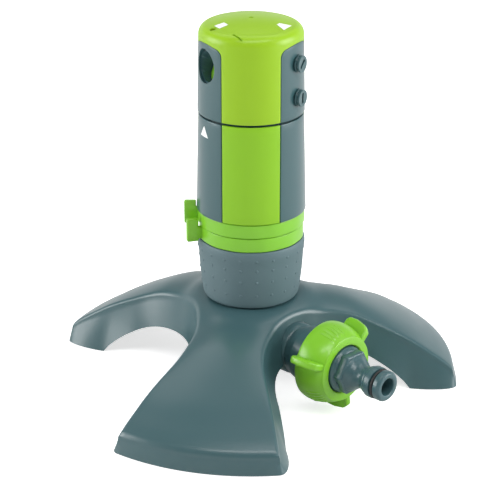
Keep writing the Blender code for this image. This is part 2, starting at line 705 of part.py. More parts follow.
def make_coupling_nut(green, nut_axis, pull):
    """Make the winged nut that holds the hose adapter on the inlet pipe."""
    profile = [(radius, height - pull) for radius, height in nut_profile()]
    nut = turned("coupling_nut", profile, 32, green, nut_axis)
    front = profile[0][1]
    back = NUT_BACK - pull
    root = PIPE_RADIUS + 2.0 * MM
    wing = [(root, 0.0, back + 0.3 * MM), (WING_RADIUS - 1.6 * MM, 0.0, back + 0.3 * MM),
            (WING_RADIUS, 0.0, back + 2.2 * MM), (WING_RADIUS, 0.0, back + 6.5 * MM),
            (WING_RADIUS - 1.5 * MM, 0.0, front - 3.6 * MM), (WING_RADIUS - 4.2 * MM, 0.0, front - 0.6 * MM),
            (root, 0.0, front - 0.6 * MM)]
    blades = bmesh.new()
    for turn in range(3):
        angle = WING_ANGLE + turn * math.tau / 3.0
        place = Matrix.Rotation(angle, 4, "Z") @ Matrix.Translation((0.0, -0.5 * WING_THICKNESS, 0.0))
        add_prism(blades, wing, (0.0, WING_THICKNESS, 0.0), place)
    join(nut, solid("nut_wings", blades, parent=nut_axis))


def make_inlet_washer(rubber, inlet_axis):
    """Make the flat washer between the pipe's end and the adapter."""
    bottom = PIPE_END + GAP
    turned("inlet_washer", ring_profile(PIPE_BORE - 2.5 * MM, PIPE_RADIUS - 0.2 * MM, bottom,
                                        bottom + WASHER_THICKNESS), PLATE_FACETS, rubber, inlet_axis)


def nipple_stations():
    """Give the stations along the inlet's axis where the adapter's quick-connector nipple changes."""
    nose_back = NOSE_END - 5.8 * MM
    groove_back = nose_back - O_RING_THICKNESS - 2.0 * GAP - 0.3 * MM
    collar_back = groove_back - 3.6 * MM
    return nose_back, groove_back, collar_back


def make_hose_adapter(grey, inlet_axis):
    """Make the tail piece: flange, hub, hexagon and the nipple for a click-on hose connector."""
    start = PIPE_END + WASHER_THICKNESS + 2.0 * GAP
    flange_end = start + ADAPTER_FLANGE
    hub_end = flange_end + NUT_LIP + 2.2 * MM
    hex_end = hub_end + HEX_LENGTH
    nose_back, groove_back, collar_back = nipple_stations()
    flare = 0.5 * HEX_ACROSS_FLATS
    profile = [(0.0, NOSE_END), (NOSE_RADIUS - 1.0 * MM, NOSE_END), (NOSE_RADIUS, NOSE_END - 1.0 * MM),
               (NOSE_RADIUS, nose_back), (o_ring_groove(), nose_back), (o_ring_groove(), groove_back),
               (NIPPLE_COLLAR_RADIUS, groove_back), (NIPPLE_COLLAR_RADIUS, collar_back + 0.8 * MM),
               (NIPPLE_COLLAR_RADIUS - 1.2 * MM, collar_back), (NECK_RADIUS, collar_back - 0.6 * MM),
               (NECK_RADIUS, collar_back - 2.6 * MM), (NECK_RADIUS + 1.2 * MM, hex_end + 2.2 * MM),
               (flare - 0.6 * MM, hex_end), (flare - 0.6 * MM, hub_end - 0.3 * MM),
               (ADAPTER_HUB_RADIUS, hub_end - 0.3 * MM), (ADAPTER_HUB_RADIUS, flange_end),
               (PIPE_RADIUS - 0.4 * MM, flange_end), (PIPE_RADIUS - 0.4 * MM, start), (0.0, start)]
    adapter = turned("hose_adapter", profile, PLATE_FACETS, grey, inlet_axis, hollow=False)
    corner = 0.5 * HEX_ACROSS_FLATS / math.cos(math.pi / 6.0)
    hexagon = bmesh.new()
    add_plate(hexagon, circle_points(corner, 6), hub_end - 1.0 * MM, hex_end - 0.6 * MM)
    join(adapter, solid("adapter_hexagon", hexagon, parent=inlet_axis))
    cut(adapter, rod("adapter_bore", NOSE_BORE, (start - 1.0 * MM, 0.0, INLET_HEIGHT),
                     (NOSE_END + 1.0 * MM, 0.0, INLET_HEIGHT), 24))


def o_ring_groove():
    """Give the floor radius of the nipple's O-ring groove."""
    return NOSE_RADIUS + 0.15 * MM - O_RING_THICKNESS - GAP


def make_nose_ring(rubber, inlet_axis):
    """Make the O-ring in the nipple's groove."""
    nose_back, groove_back, collar_back = nipple_stations()
    middle = 0.5 * (nose_back + groove_back)
    half = 0.5 * O_RING_THICKNESS
    radius = o_ring_groove() + GAP + half
    profile = list(reversed(circle_points(half, SEAL_FACETS, (radius, middle))))
    turned("nose_o_ring", profile, 20, rubber, inlet_axis)


def collar_radius(height):
    """Give the grip collar's outer radius at a height."""
    share = (height - COLLAR_BOTTOM) / COLLAR_HEIGHT
    return COLLAR_FOOT_RADIUS + (COLLAR_TOP_RADIUS - COLLAR_FOOT_RADIUS) * min(1.0, 1.1 * share ** 0.8)


def make_grip_collar(grey):
    """Make the collar that screws the turret to the base, with the fixed neck inside the arc rings."""
    foot = COLLAR_BOTTOM + 0.8 * MM
    inner = COLLAR_FOOT_RADIUS - COLLAR_WALL
    ledge = RING_GEAR_BOTTOM - GAP
    shoulder = COLLAR_TOP - COLLAR_WALL
    lip = NECK_INNER - COLLAR_WALL
    profile = [(NECK_INNER, NECK_TOP), (NECK_OUTER, NECK_TOP), (NECK_OUTER, COLLAR_TOP),
               (COLLAR_TOP_RADIUS - 0.7 * MM, COLLAR_TOP), (COLLAR_TOP_RADIUS, COLLAR_TOP - 0.7 * MM),
               (collar_radius(COLLAR_BOTTOM + 0.45 * COLLAR_HEIGHT), COLLAR_BOTTOM + 0.45 * COLLAR_HEIGHT),
               (COLLAR_FOOT_RADIUS + 0.2 * MM, COLLAR_BOTTOM + 6.0 * MM),
               (COLLAR_FOOT_RADIUS - 0.7 * MM, COLLAR_BOTTOM + 2.6 * MM),
               (COLLAR_FOOT_RADIUS - 3.0 * MM, foot), (RISER_RADIUS + 4.0 * MM, foot),
               (RISER_RADIUS + 4.0 * MM, COLLAR_BOTTOM), (RISER_RADIUS + 0.4 * MM, COLLAR_BOTTOM),
               (RISER_RADIUS + 0.4 * MM, COLLAR_BOTTOM + 4.0 * MM), (inner, COLLAR_BOTTOM + 4.0 * MM),
               (inner, shoulder), (lip, shoulder), (lip, ledge), (NECK_INNER, ledge)]
    turned("grip_collar", profile, BARREL_FACETS, grey)


def tooth_outline(teeth, addendum, dedendum, play, bore=False):
    """Give an involute gear's outline. With bore set, it is the cut for an internal gear.

    The tooth numbered zero is centred on the X axis. Play thins each tooth, or widens each space.
    """
    pitch = 0.5 * GEAR_MODULE * teeth
    base = pitch * math.cos(PRESSURE_ANGLE)
    tip = pitch + addendum * GEAR_MODULE
    root = pitch - dedendum * GEAR_MODULE
    involute_at_pitch = math.tan(PRESSURE_ANGLE) - PRESSURE_ANGLE
    half_pitch_tooth = 0.25 * math.tau / teeth + (play if bore else -play) / (2.0 * pitch)

    def half_angle(radius):
        flank = math.acos(base / max(radius, base))
        return half_pitch_tooth + involute_at_pitch - (math.tan(flank) - flank)

    radii = [root, tip] if root > base or bore else [root, base, tip]
    points = []
    for tooth in range(teeth):
        centre = math.tau * tooth / teeth
        for radius in radii:
            angle = centre - half_angle(radius)
            points.append((radius * math.cos(angle), radius * math.sin(angle)))
        for radius in reversed(radii):
            angle = centre + half_angle(radius)
            points.append((radius * math.cos(angle), radius * math.sin(angle)))
    return points


def turn_points(points, angle):
    """Turn flat points about the origin."""
    cosine = math.cos(angle)
    sine = math.sin(angle)
    return [(x * cosine - y * sine, x * sine + y * cosine) for x, y in points]


def spur(teeth, half_step=False):
    """Give a spur gear's outline. A half step puts a space, not a tooth, on the X axis."""
    outline = tooth_outline(teeth, TOOTH_ADDENDUM, TOOTH_DEDENDUM, TOOTH_PLAY)
    return turn_points(outline, 0.5 * math.tau / teeth if half_step else 0.0)


def make_ring_gear(acetal):
    """Make the fixed internal gear that the output pinion walks round."""
    ring = rod("ring_gear", RING_GEAR_RADIUS, (0.0, 0.0, RING_GEAR_BOTTOM), (0.0, 0.0, RING_GEAR_TOP),
               BARREL_FACETS, acetal)
    space = tooth_outline(RING_TEETH, TOOTH_DEDENDUM, RING_ADDENDUM, TOOTH_PLAY, bore=True)
    cut(ring, plate("ring_teeth", space, RING_GEAR_BOTTOM - 1.0 * MM, RING_GEAR_TOP + 1.0 * MM))


def compound_gear(name, acetal, parent, pinion_low, pinion_high, wheel_low, wheel_high,
                  pinion_half, wheel_half):
    """Make a pinion and a wheel on one hub. Either may have a space on the X axis."""
    low = min(pinion_low, wheel_low)
    high = max(pinion_high, wheel_high)
    hub = rod(name, HUB_RADIUS, (0.0, 0.0, low), (0.0, 0.0, high), SMALL_FACETS, acetal, parent)
    pinion = plate(name + "_pinion", spur(PINION_TEETH, pinion_half), pinion_low, pinion_high, parent=parent)
    wheel = plate(name + "_wheel", spur(WHEEL_TEETH, wheel_half), wheel_low, wheel_high, parent=parent)
    bore = bmesh.new()
    add_rod(bore, SHAFT_RADIUS + GAP, (0.0, 0.0, low - 1.0 * MM), (0.0, 0.0, high + 1.0 * MM), 12)
    join(hub, pinion, wheel)
    cut(hub, solid(name + "_bore", bore, parent=parent))
    return hub


def make_output_gear(acetal, side_axis):
    """Make the last gear: a wheel above the deck and a pinion in the ring gear below it."""
    pinion_low = RING_GEAR_BOTTOM + GAP
    compound_gear("output_gear", acetal, side_axis, pinion_low, pinion_low + OUTPUT_PINION_LENGTH,
                  FIRST_STAGE, FIRST_STAGE + WHEEL_THICKNESS, False, False)


def make_centre_gear(acetal, turret_axis):
    """Make the compound gear on the centre shaft."""
    compound_gear("centre_gear", acetal, turret_axis, FIRST_STAGE, FIRST_STAGE + WHEEL_THICKNESS,
                  SECOND_STAGE, SECOND_STAGE + WHEEL_THICKNESS, True, False)


def make_side_gear(acetal, side_axis):
    """Make the upper compound gear on the side shaft."""
    compound_gear("side_gear", acetal, side_axis, SECOND_STAGE, SECOND_STAGE + WHEEL_THICKNESS,
                  THIRD_STAGE, THIRD_STAGE + WHEEL_THICKNESS, True, False)


def make_turbine(acetal, turret_axis):
    """Make the water turbine, with the first pinion on the lower end of its hub."""
    hub = rod("turbine", HUB_RADIUS, (0.0, 0.0, THIRD_STAGE), (0.0, 0.0, TURBINE_TOP),
              SMALL_FACETS, acetal, turret_axis)
    pinion = plate("turbine_pinion", spur(PINION_TEETH, True), THIRD_STAGE,
                   THIRD_STAGE + WHEEL_THICKNESS, parent=turret_axis)
    disc = rod("turbine_disc", TURBINE_RADIUS - 2.5 * MM, (0.0, 0.0, TURBINE_TOP - 2.0 * MM),
               (0.0, 0.0, TURBINE_TOP - 0.5 * MM), 24, parent=turret_axis)
    blades = bmesh.new()
    for turn in range(BLADE_COUNT):
        add_box(blades, (HUB_RADIUS + 4.0 * MM, -0.5 * BLADE_THICKNESS, TURBINE_BOTTOM),
                (TURBINE_RADIUS, 0.5 * BLADE_THICKNESS, TURBINE_TOP), math.tau * turn / BLADE_COUNT)
    bore = bmesh.new()
    add_rod(bore, SHAFT_RADIUS + GAP, (0.0, 0.0, THIRD_STAGE - 1.0 * MM),
            (0.0, 0.0, TURBINE_TOP + 1.0 * MM), 12)
    join(hub, pinion, disc, solid("turbine_blades", blades, parent=turret_axis))
    cut(hub, solid("turbine_bore", bore, parent=turret_axis))


def make_shafts(steel, turret_axis, side_axis):
    """Make the two steel shafts that the gears turn on."""
    shaft("centre_shaft", steel, turret_axis, DECK_BOTTOM + 1.2 * MM, TURBINE_TOP + 6.0 * MM)
    shaft("side_shaft", steel, side_axis, THRUST_BOTTOM + 1.2 * MM, STATOR_BOTTOM + 1.6 * MM)


def shaft(name, steel, parent, low, high):
    """Make one round shaft."""
    bm = bmesh.new()
    add_rod(bm, SHAFT_RADIUS, (0.0, 0.0, low), (0.0, 0.0, high), 12)
    solid(name, bm, steel, parent)


def side_spot(height=0.0):
    """Give a point on the side shaft's axis."""
    return polar(CENTRE_DISTANCE, SIDE_ANGLE, height)


def make_turret_base(grey, turret_axis):
    """Make the spindle that plugs into the riser, with the deck that carries the gears."""
    deck_radius = CORE_RADIUS - GAP
    upper = SPINDLE_RADIUS - 0.5 * MM
    low = RISER_TOP - SPINDLE_LENGTH
    groove = clip_groove()
    profile = [(SPINDLE_BORE, DECK_TOP), (deck_radius, DECK_TOP), (deck_radius, DECK_BOTTOM),
               (upper, DECK_BOTTOM), (upper, THRUST_TOP), (THRUST_FLANGE_RADIUS, THRUST_TOP),
               (THRUST_FLANGE_RADIUS, THRUST_BOTTOM), (SPINDLE_RADIUS, THRUST_BOTTOM),
               (SPINDLE_RADIUS, groove[1]), (clip_inner() - GAP, groove[1]), (clip_inner() - GAP, groove[0]),
               (SPINDLE_RADIUS, groove[0]), (SPINDLE_RADIUS, low), (SPINDLE_BORE, low)]
    deck = turned("turret_spindle", profile, PLATE_FACETS, grey, turret_axis)
    spider = bmesh.new()
    reach = SPINDLE_BORE + 1.0 * MM
    add_box(spider, (-reach, -1.0 * MM, DECK_BOTTOM), (reach, 1.0 * MM, DECK_TOP))
    hub = bmesh.new()
    add_rod(hub, 2.4 * MM, (0.0, 0.0, DECK_BOTTOM), (0.0, 0.0, DECK_TOP))
    join(deck, solid("deck_spider", spider, parent=turret_axis), solid("deck_hub", hub, parent=turret_axis))
    holes = bmesh.new()
    shaft_way = SHAFT_RADIUS + GAP
    pinion_way = PINION_TIP_RADIUS + GAP
    add_rod(holes, shaft_way, (0.0, 0.0, DECK_BOTTOM + 0.8 * MM), (0.0, 0.0, DECK_TOP + 1.0 * MM), 12)
    add_rod(holes, pinion_way, side_spot(DECK_BOTTOM - 1.0 * MM), side_spot(DECK_TOP + 1.0 * MM), 20)
    add_rod(holes, shaft_way, side_spot(THRUST_BOTTOM + 0.8 * MM), side_spot(THRUST_TOP + 1.0 * MM), 12)
    for angle in post_angles():
        add_rod(holes, 0.5 * POST_RADIUS + GAP, polar(POST_CIRCLE, angle, DECK_BOTTOM - 1.0 * MM),
                polar(POST_CIRCLE, angle, DECK_TOP + 1.0 * MM), 12)
    add_rod(holes, TRIP_SHAFT_RADIUS + GAP, polar(TRIP_CIRCLE, TRIP_ANGLE, DECK_BOTTOM - 1.0 * MM),
            polar(TRIP_CIRCLE, TRIP_ANGLE, DECK_TOP + 1.0 * MM), 14)
    cut(deck, solid("deck_holes", holes, parent=turret_axis))


def clip_groove():
    """Give the lower and upper height of the groove for the spindle's clip."""
    top = RISER_TOP - RISER_LIP - 0.4 * MM
    return top - 1.9 * MM, top


def clip_inner():
    """Give the clip's inner radius."""
    return SPINDLE_RADIUS - 0.9 * MM


def make_spindle_clip(steel, turret_axis):
    """Make the ring that keeps the spindle under the riser's lip."""
    low, high = clip_groove()
    profile = ring_profile(clip_inner(), RISER_BORE - GAP, low + GAP, high - GAP)
    turned("spindle_clip", profile, PLATE_FACETS, steel, turret_axis)


def make_riser_seal(rubber):
    """Make the seal between the riser and the spindle."""
    radius = 0.5 * (RISER_BORE + SPINDLE_RADIUS)
    half = 0.5 * (RISER_BORE - SPINDLE_RADIUS) - GAP
    middle = RISER_TOP - SPINDLE_LENGTH + 3.0 * MM
    turned("riser_seal", list(reversed(circle_points(half, SEAL_FACETS, (radius, middle)))), 28, rubber)


def make_thrust_washer(acetal):
    """Make the washer that the turret turns on."""
    bottom = RISER_TOP + GAP
    turned("thrust_washer", ring_profile(SPINDLE_RADIUS + GAP, RISER_RADIUS - 0.2 * MM, bottom,
                                         bottom + WASHER_RING_THICKNESS), PLATE_FACETS, acetal)


def post_angles():
    """Give the angles of the three gearbox posts, clear of the side gears and the trip lever."""
    return [math.radians(60.0), math.radians(-120.0), 0.0]


def make_stator(grey, turret_axis):
    """Make the jet plate above the gears, with posts down to the deck and six inclined ports."""
    outer = CORE_RADIUS - GAP
    hole = PINION_TIP_RADIUS + GAP
    stator = turned("stator_plate", ring_profile(hole, outer, STATOR_BOTTOM, STATOR_TOP),
                    PLATE_FACETS, grey, turret_axis)
    posts = bmesh.new()
    bores = bmesh.new()
    for angle in post_angles():
        add_rod(posts, POST_RADIUS, polar(POST_CIRCLE, angle, DECK_TOP + GAP),
                polar(POST_CIRCLE, angle, STATOR_BOTTOM + 1.0 * MM), 12)
        add_rod(bores, 0.5 * POST_RADIUS, polar(POST_CIRCLE, angle, DECK_TOP - 1.0 * MM),
                polar(POST_CIRCLE, angle, DECK_TOP + 8.5 * MM), 10)
    add_rod(bores, SHAFT_RADIUS + GAP, side_spot(STATOR_BOTTOM - 1.0 * MM),
            side_spot(STATOR_BOTTOM + 2.0 * MM), 12)
    add_rod(bores, TRIP_SHAFT_RADIUS + GAP, polar(TRIP_CIRCLE, TRIP_ANGLE, STATOR_BOTTOM - 1.0 * MM),
            polar(TRIP_CIRCLE, TRIP_ANGLE, STATOR_TOP + 1.0 * MM), 14)
    for turn in range(3):
        for side in (-1.0, 1.0):
            angle = port_angle(turn) + side * STATOR_PORT_SPREAD
            across = Vector((-math.sin(angle), math.cos(angle), 0.0)) * (side * STATOR_PORT_LEAN)
            middle = polar(STATOR_PORT_CIRCLE, angle)
            add_rod(bores, STATOR_PORT_RADIUS, middle - across + Vector((0.0, 0.0, STATOR_BOTTOM - 1.0 * MM)),
                    middle + across + Vector((0.0, 0.0, STATOR_TOP + 1.0 * MM)), 10)
    join(stator, solid("stator_posts", posts, parent=turret_axis))
    cut(stator, solid("stator_holes", bores, parent=turret_axis))


def port_angle(turn):
    """Give the angle of one pair of stator ports."""
    return TRIP_ANGLE + turn * math.tau / 3.0


def make_gearbox_screws(steel, turret_axis):
    """Make the three screws that hold the deck to the stator's posts."""
    head = 1.5 * MM
    for number, angle in enumerate(post_angles(), start=1):
        make_screw("gearbox_screw_%d" % number, polar(POST_CIRCLE, angle), DECK_BOTTOM - GAP - head,
                   DECK_TOP + 7.5 * MM, POST_RADIUS - GAP, head, 0.5 * POST_RADIUS - GAP, steel, turret_axis)


def make_trip_lever(acetal, trip_axis):
    """Make the lever that the arc stops push: a finger below, a shaft, and an arm above the stator."""
    low = NECK_TOP + 0.5 * MM
    lever = bmesh.new()
    add_rod(lever, TRIP_SHAFT_RADIUS, (0.0, 0.0, low), (0.0, 0.0, DIVERTER_BOTTOM + DIVERTER_THICKNESS), 14)
    shaft_piece = solid("trip_lever", lever, acetal, trip_axis)
    finger = bmesh.new()
    add_box(finger, (0.0, -1.0 * MM, low), (TRIP_TIP_RADIUS - TRIP_CIRCLE, 1.0 * MM, DECK_BOTTOM - GAP))
    arm = bmesh.new()
    half = 0.5 * TRIP_ARM_WIDTH
    add_box(arm, (FORK_RADIUS - TRIP_CIRCLE, -half, DIVERTER_BOTTOM + 0.1 * MM),
            (0.0, half, DIVERTER_BOTTOM + DIVERTER_THICKNESS - 0.1 * MM))
    join(shaft_piece, solid("trip_finger", finger, parent=trip_axis),
         solid("trip_arm", arm, parent=trip_axis))


def make_diverter(acetal, turret_axis):
    """Make the ring that covers one set of stator ports at a time, so the turbine changes direction."""
    top = DIVERTER_BOTTOM + DIVERTER_THICKNESS
    outer = FORK_RADIUS - 0.6 * MM
    ring = turned("diverter_ring", ring_profile(HUB_RADIUS + 3.6 * MM, outer, DIVERTER_BOTTOM, top),
                  PLATE_FACETS, acetal, turret_axis)
    windows = bmesh.new()
    for turn in range(3):
        for side in (-1.0, 1.0):
            angle = port_angle(turn) + side * WINDOW_SPREAD
            add_rod(windows, STATOR_PORT_RADIUS + 0.1 * MM,
                    polar(STATOR_PORT_CIRCLE, angle, DIVERTER_BOTTOM - 1.0 * MM),
                    polar(STATOR_PORT_CIRCLE, angle, top + 1.0 * MM), 10)
    prongs = bmesh.new()
    near = 0.5 * FORK_OPENING
    far = near + PRONG_WIDTH
    for low, high in ((-far, -near), (near, far)):
        add_box(prongs, (outer - 1.5 * MM, low, DIVERTER_BOTTOM), (outer + PRONG_LENGTH, high, top),
                TRIP_ANGLE)
    join(ring, solid("diverter_fork", prongs, parent=turret_axis))
    cut(ring, solid("diverter_windows", windows, parent=turret_axis))


def body_radius(height):
    """Give the turret body's outer radius at a height."""
    share = (height - BODY_BOTTOM) / BODY_HEIGHT
    return BODY_BOTTOM_RADIUS + (BODY_TOP_RADIUS - BODY_BOTTOM_RADIUS) * share


def head_radius(height):
    """Give the head's outer radius at a height below its crown."""
    share = (height - HEAD_BOTTOM) / (HEAD_HEIGHT - CROWN_RADIUS)
    return HEAD_BOTTOM_RADIUS + (HEAD_TOP_RADIUS - HEAD_BOTTOM_RADIUS) * min(1.0, share)


def panel_half_width(radius):
    """Give half the width of a grey panel between two stripes of constant width."""
    return radius * math.sin(math.pi / 3.0 - math.asin(0.5 * STRIPE_WIDTH / radius))


def panel_prisms(outline):
    """Make the three panel prisms. The outline has (sideways, height) points."""
    bm = bmesh.new()
    near = 0.78 * CORE_RADIUS
    for angle in PANEL_ANGLES:
        add_prism(bm, [(near, side, height) for side, height in outline], (CORE_RADIUS, 0.0, 0.0),
                  Matrix.Rotation(angle, 4, "Z"))
    return bm


def body_panel_outline(grow):
    """Give the outline of one body panel, grown sideways by a clearance."""
    low = BODY_BOTTOM - 1.0 * MM
    high = BODY_TOP + 1.0 * MM
    bottom = panel_half_width(body_radius(low)) + grow
    top = panel_half_width(body_radius(high)) + grow
    return [(-bottom, low), (bottom, low), (top, high), (-top, high)]


def make_body(grey, green, turret_axis):
    """Make the turret's grey body and the three green stripes let into it."""
    floor = INLAY_DEPTH + GAP
    shell = turned("body_shell", [(CORE_RADIUS, BODY_TOP), (BODY_TOP_RADIUS - 0.5 * MM, BODY_TOP),
                                  (BODY_TOP_RADIUS, BODY_TOP - 0.5 * MM),
                                  (BODY_BOTTOM_RADIUS, BODY_BOTTOM + 0.5 * MM),
                                  (BODY_BOTTOM_RADIUS - 0.5 * MM, BODY_BOTTOM), (CORE_RADIUS, BODY_BOTTOM)],
                   BARREL_FACETS, grey, turret_axis)
    low = BODY_BOTTOM - 1.0 * MM
    high = BODY_TOP + 1.0 * MM
    pocket = turned("body_pocket", [(body_radius(high) - floor, high), (body_radius(high) + 3.0 * MM, high),
                                    (body_radius(low) + 3.0 * MM, low), (body_radius(low) - floor, low)],
                    BARREL_FACETS, parent=turret_axis)
    cut(pocket, solid("body_panels", panel_prisms(body_panel_outline(-0.5 * GAP)), parent=turret_axis))
    cut(shell, pocket)
    beside = solid("stripe_panels", panel_prisms(body_panel_outline(0.5 * GAP)), parent=turret_axis)
    for number, angle in enumerate(STRIPE_ANGLES, start=1):
        low = BODY_BOTTOM + 0.1 * MM
        high = BODY_TOP - 0.1 * MM
        stripe = turned("body_stripe_%d" % number,
                        [(body_radius(high) - INLAY_DEPTH, high), (body_radius(high) - 0.4 * MM, high),
                         (body_radius(high), high - 0.4 * MM), (body_radius(low), low + 0.4 * MM),
                         (body_radius(low) - 0.4 * MM, low), (body_radius(low) - INLAY_DEPTH, low)],
                        BARREL_FACETS, green, turret_axis)
        frame = bmesh.new()
        half = 0.5 * STRIPE_WIDTH + 4.0 * MM
        add_box(frame, (0.3 * CORE_RADIUS, -half, BODY_BOTTOM - BODY_WALL),
                (1.6 * CORE_RADIUS, half, BODY_TOP + BODY_WALL), angle)
        combine(stripe, "INTERSECT", [solid("stripe_frame_%d" % number, frame, parent=turret_axis)])
        cut(stripe, beside)


def make_port_plate(grey, turret_axis):
    """Make the plate that lets the water up to one outlet of the head."""
    outer = CORE_RADIUS - GAP
    pivot_floor = TURBINE_TOP + 7.5 * MM
    boss_low = TURBINE_TOP + 1.5 * MM
    profile = [(0.0, PORT_PLATE_TOP), (outer, PORT_PLATE_TOP), (outer, PORT_PLATE_BOTTOM),
               (4.0 * MM, PORT_PLATE_BOTTOM), (4.0 * MM, boss_low), (0.0, boss_low)]
    plate_piece = turned("port_plate", profile, PLATE_FACETS, grey, turret_axis, hollow=False)
    pocket = bmesh.new()
    low = PORT_PLATE_TOP - detent_depth()
    add_rod(pocket, DETENT_RADIUS + 1.4 * MM, detent_spot(low - 1.0 * MM),
            detent_spot(PORT_PLATE_TOP - 1.0 * MM), 14)
    join(plate_piece, solid("detent_pillar", pocket, parent=turret_axis))
    holes = bmesh.new()
    add_rod(holes, PORT_RADIUS, polar(PORT_CIRCLE, PANEL_ANGLE_JET, PORT_PLATE_BOTTOM - 1.0 * MM),
            polar(PORT_CIRCLE, PANEL_ANGLE_JET, PORT_PLATE_TOP + 1.0 * MM), 20)
    add_rod(holes, DETENT_RADIUS + GAP, detent_spot(low), detent_spot(PORT_PLATE_TOP + 1.0 * MM), 14)
    add_rod(holes, PIVOT_RADIUS + GAP, (0.0, 0.0, pivot_floor), (0.0, 0.0, PORT_PLATE_TOP + 1.0 * MM), 14)
    add_rod(holes, SHAFT_RADIUS + GAP, (0.0, 0.0, boss_low - 1.0 * MM),
            (0.0, 0.0, TURBINE_TOP + 6.4 * MM), 12)
    cut(plate_piece, solid("port_plate_holes", holes, parent=turret_axis))


def detent_depth():
    """Give the depth of the detent's pocket."""
    return 7.0 * MM


def detent_spot(height):
    """Give a point on the detent's axis."""
    return polar(DETENT_CIRCLE, PANEL_ANGLE_JET + math.pi / 3.0, height)


def make_port_seal(rubber, turret_axis):
    """Make the seal round the port, between the plate and the head."""
    spot = polar(PORT_CIRCLE, PANEL_ANGLE_JET, PORT_PLATE_TOP + SEAL_RADIUS + GAP)
    profile = list(reversed(circle_points(SEAL_RADIUS, SEAL_FACETS, (PORT_RADIUS + SEAL_RADIUS, 0.0))))
    seal = turned("port_seal", profile, 16, rubber, turret_axis)
    seal.location = spot


def make_detent(steel, turret_axis):
    """Make the ball and spring that click the head into place."""
    ball = bmesh.new()
    top = MANIFOLD_BOTTOM - GAP
    centre = detent_spot(top - DETENT_RADIUS)
    bmesh.ops.create_uvsphere(ball, u_segments=10, v_segments=6, radius=DETENT_RADIUS,
                              matrix=Matrix.Translation(centre))
    solid("detent_ball", ball, steel, turret_axis)
    low = PORT_PLATE_TOP - detent_depth() + GAP + SPRING_WIRE
    high = top - 2.0 * DETENT_RADIUS - SPRING_WIRE + 0.2 * MM
    curve = bpy.data.curves.new("detent_spring", "CURVE")
    curve.dimensions = "3D"
    curve.bevel_depth = SPRING_WIRE
    curve.bevel_resolution = 0
    curve.use_fill_caps = True
    points_per_turn = 8
    count = SPRING_TURNS * points_per_turn + 1
    spline = curve.splines.new("POLY")
    spline.points.add(count - 1)
    radius = DETENT_RADIUS - 2.0 * SPRING_WIRE
    spot = detent_spot(0.0)
    for index in range(count):
        angle = math.tau * index / points_per_turn
        height = low + (high - low) * index / (count - 1)
        point = spot + polar(radius, angle, height)
        spline.points[index].co = (point.x, point.y, point.z, 1.0)
    item = bpy.data.objects.new("detent_spring", curve)
    curve.materials.append(steel)
    PARTS.objects.link(item)
    item.parent = turret_axis


def make_selector_pivot(steel, head_axis):
    """Make the shouldered screw that holds the head down on the port plate."""
    head = MANIFOLD_TOP + GAP
    low = TURBINE_TOP + 8.0 * MM
    profile = [(0.0, head + 2.4 * MM), (3.4 * MM, head + 2.4 * MM), (3.8 * MM, head + 2.0 * MM),
               (3.8 * MM, head), (PIVOT_RADIUS, head), (PIVOT_RADIUS, low), (0.0, low)]
    turned("selector_pivot", profile, SMALL_FACETS, steel, head_axis, hollow=False)


def crown_arc(radius_offset, height_offset, steps=5):
    """Give the rounded edge of the head's crown, from the top down."""
    centre = (HEAD_TOP_RADIUS - CROWN_RADIUS, HEAD_TOP - CROWN_RISE - CROWN_RADIUS)
    reach = CROWN_RADIUS - radius_offset
    points = arc_points(centre, reach, 0.5 * math.pi, 0.0, steps)
    return [(radius, height + height_offset) for radius, height in points]


def head_panel_outline(grow):
    """Give the outline of one head panel: straight sides, rounded corners and an arched top."""
    low = HEAD_BOTTOM - 1.0 * MM
    top = HEAD_BOTTOM + PANEL_TOP + grow
    bottom_half = panel_half_width(head_radius(low)) + grow
    top_half = panel_half_width(head_radius(top)) + grow
    corner = 2.4 * MM
    right = [(bottom_half, low), (top_half, top - 2.0 * corner)]
    for step in range(1, 5):
        angle = 0.5 * math.pi * step / 4.0
        side = top_half - corner * (1.0 - math.cos(angle))
        sag = 0.16 * side ** 2 / HEAD_TOP_RADIUS * 3.0
        right.append((side, top - sag - corner * (1.0 - math.sin(angle))))
    for share in (0.55, 0.25):
        side = share * top_half
        right.append((side, top - 0.48 * side ** 2 / HEAD_TOP_RADIUS))
    left = [(-side, height) for side, height in reversed(right)]
    return right + left


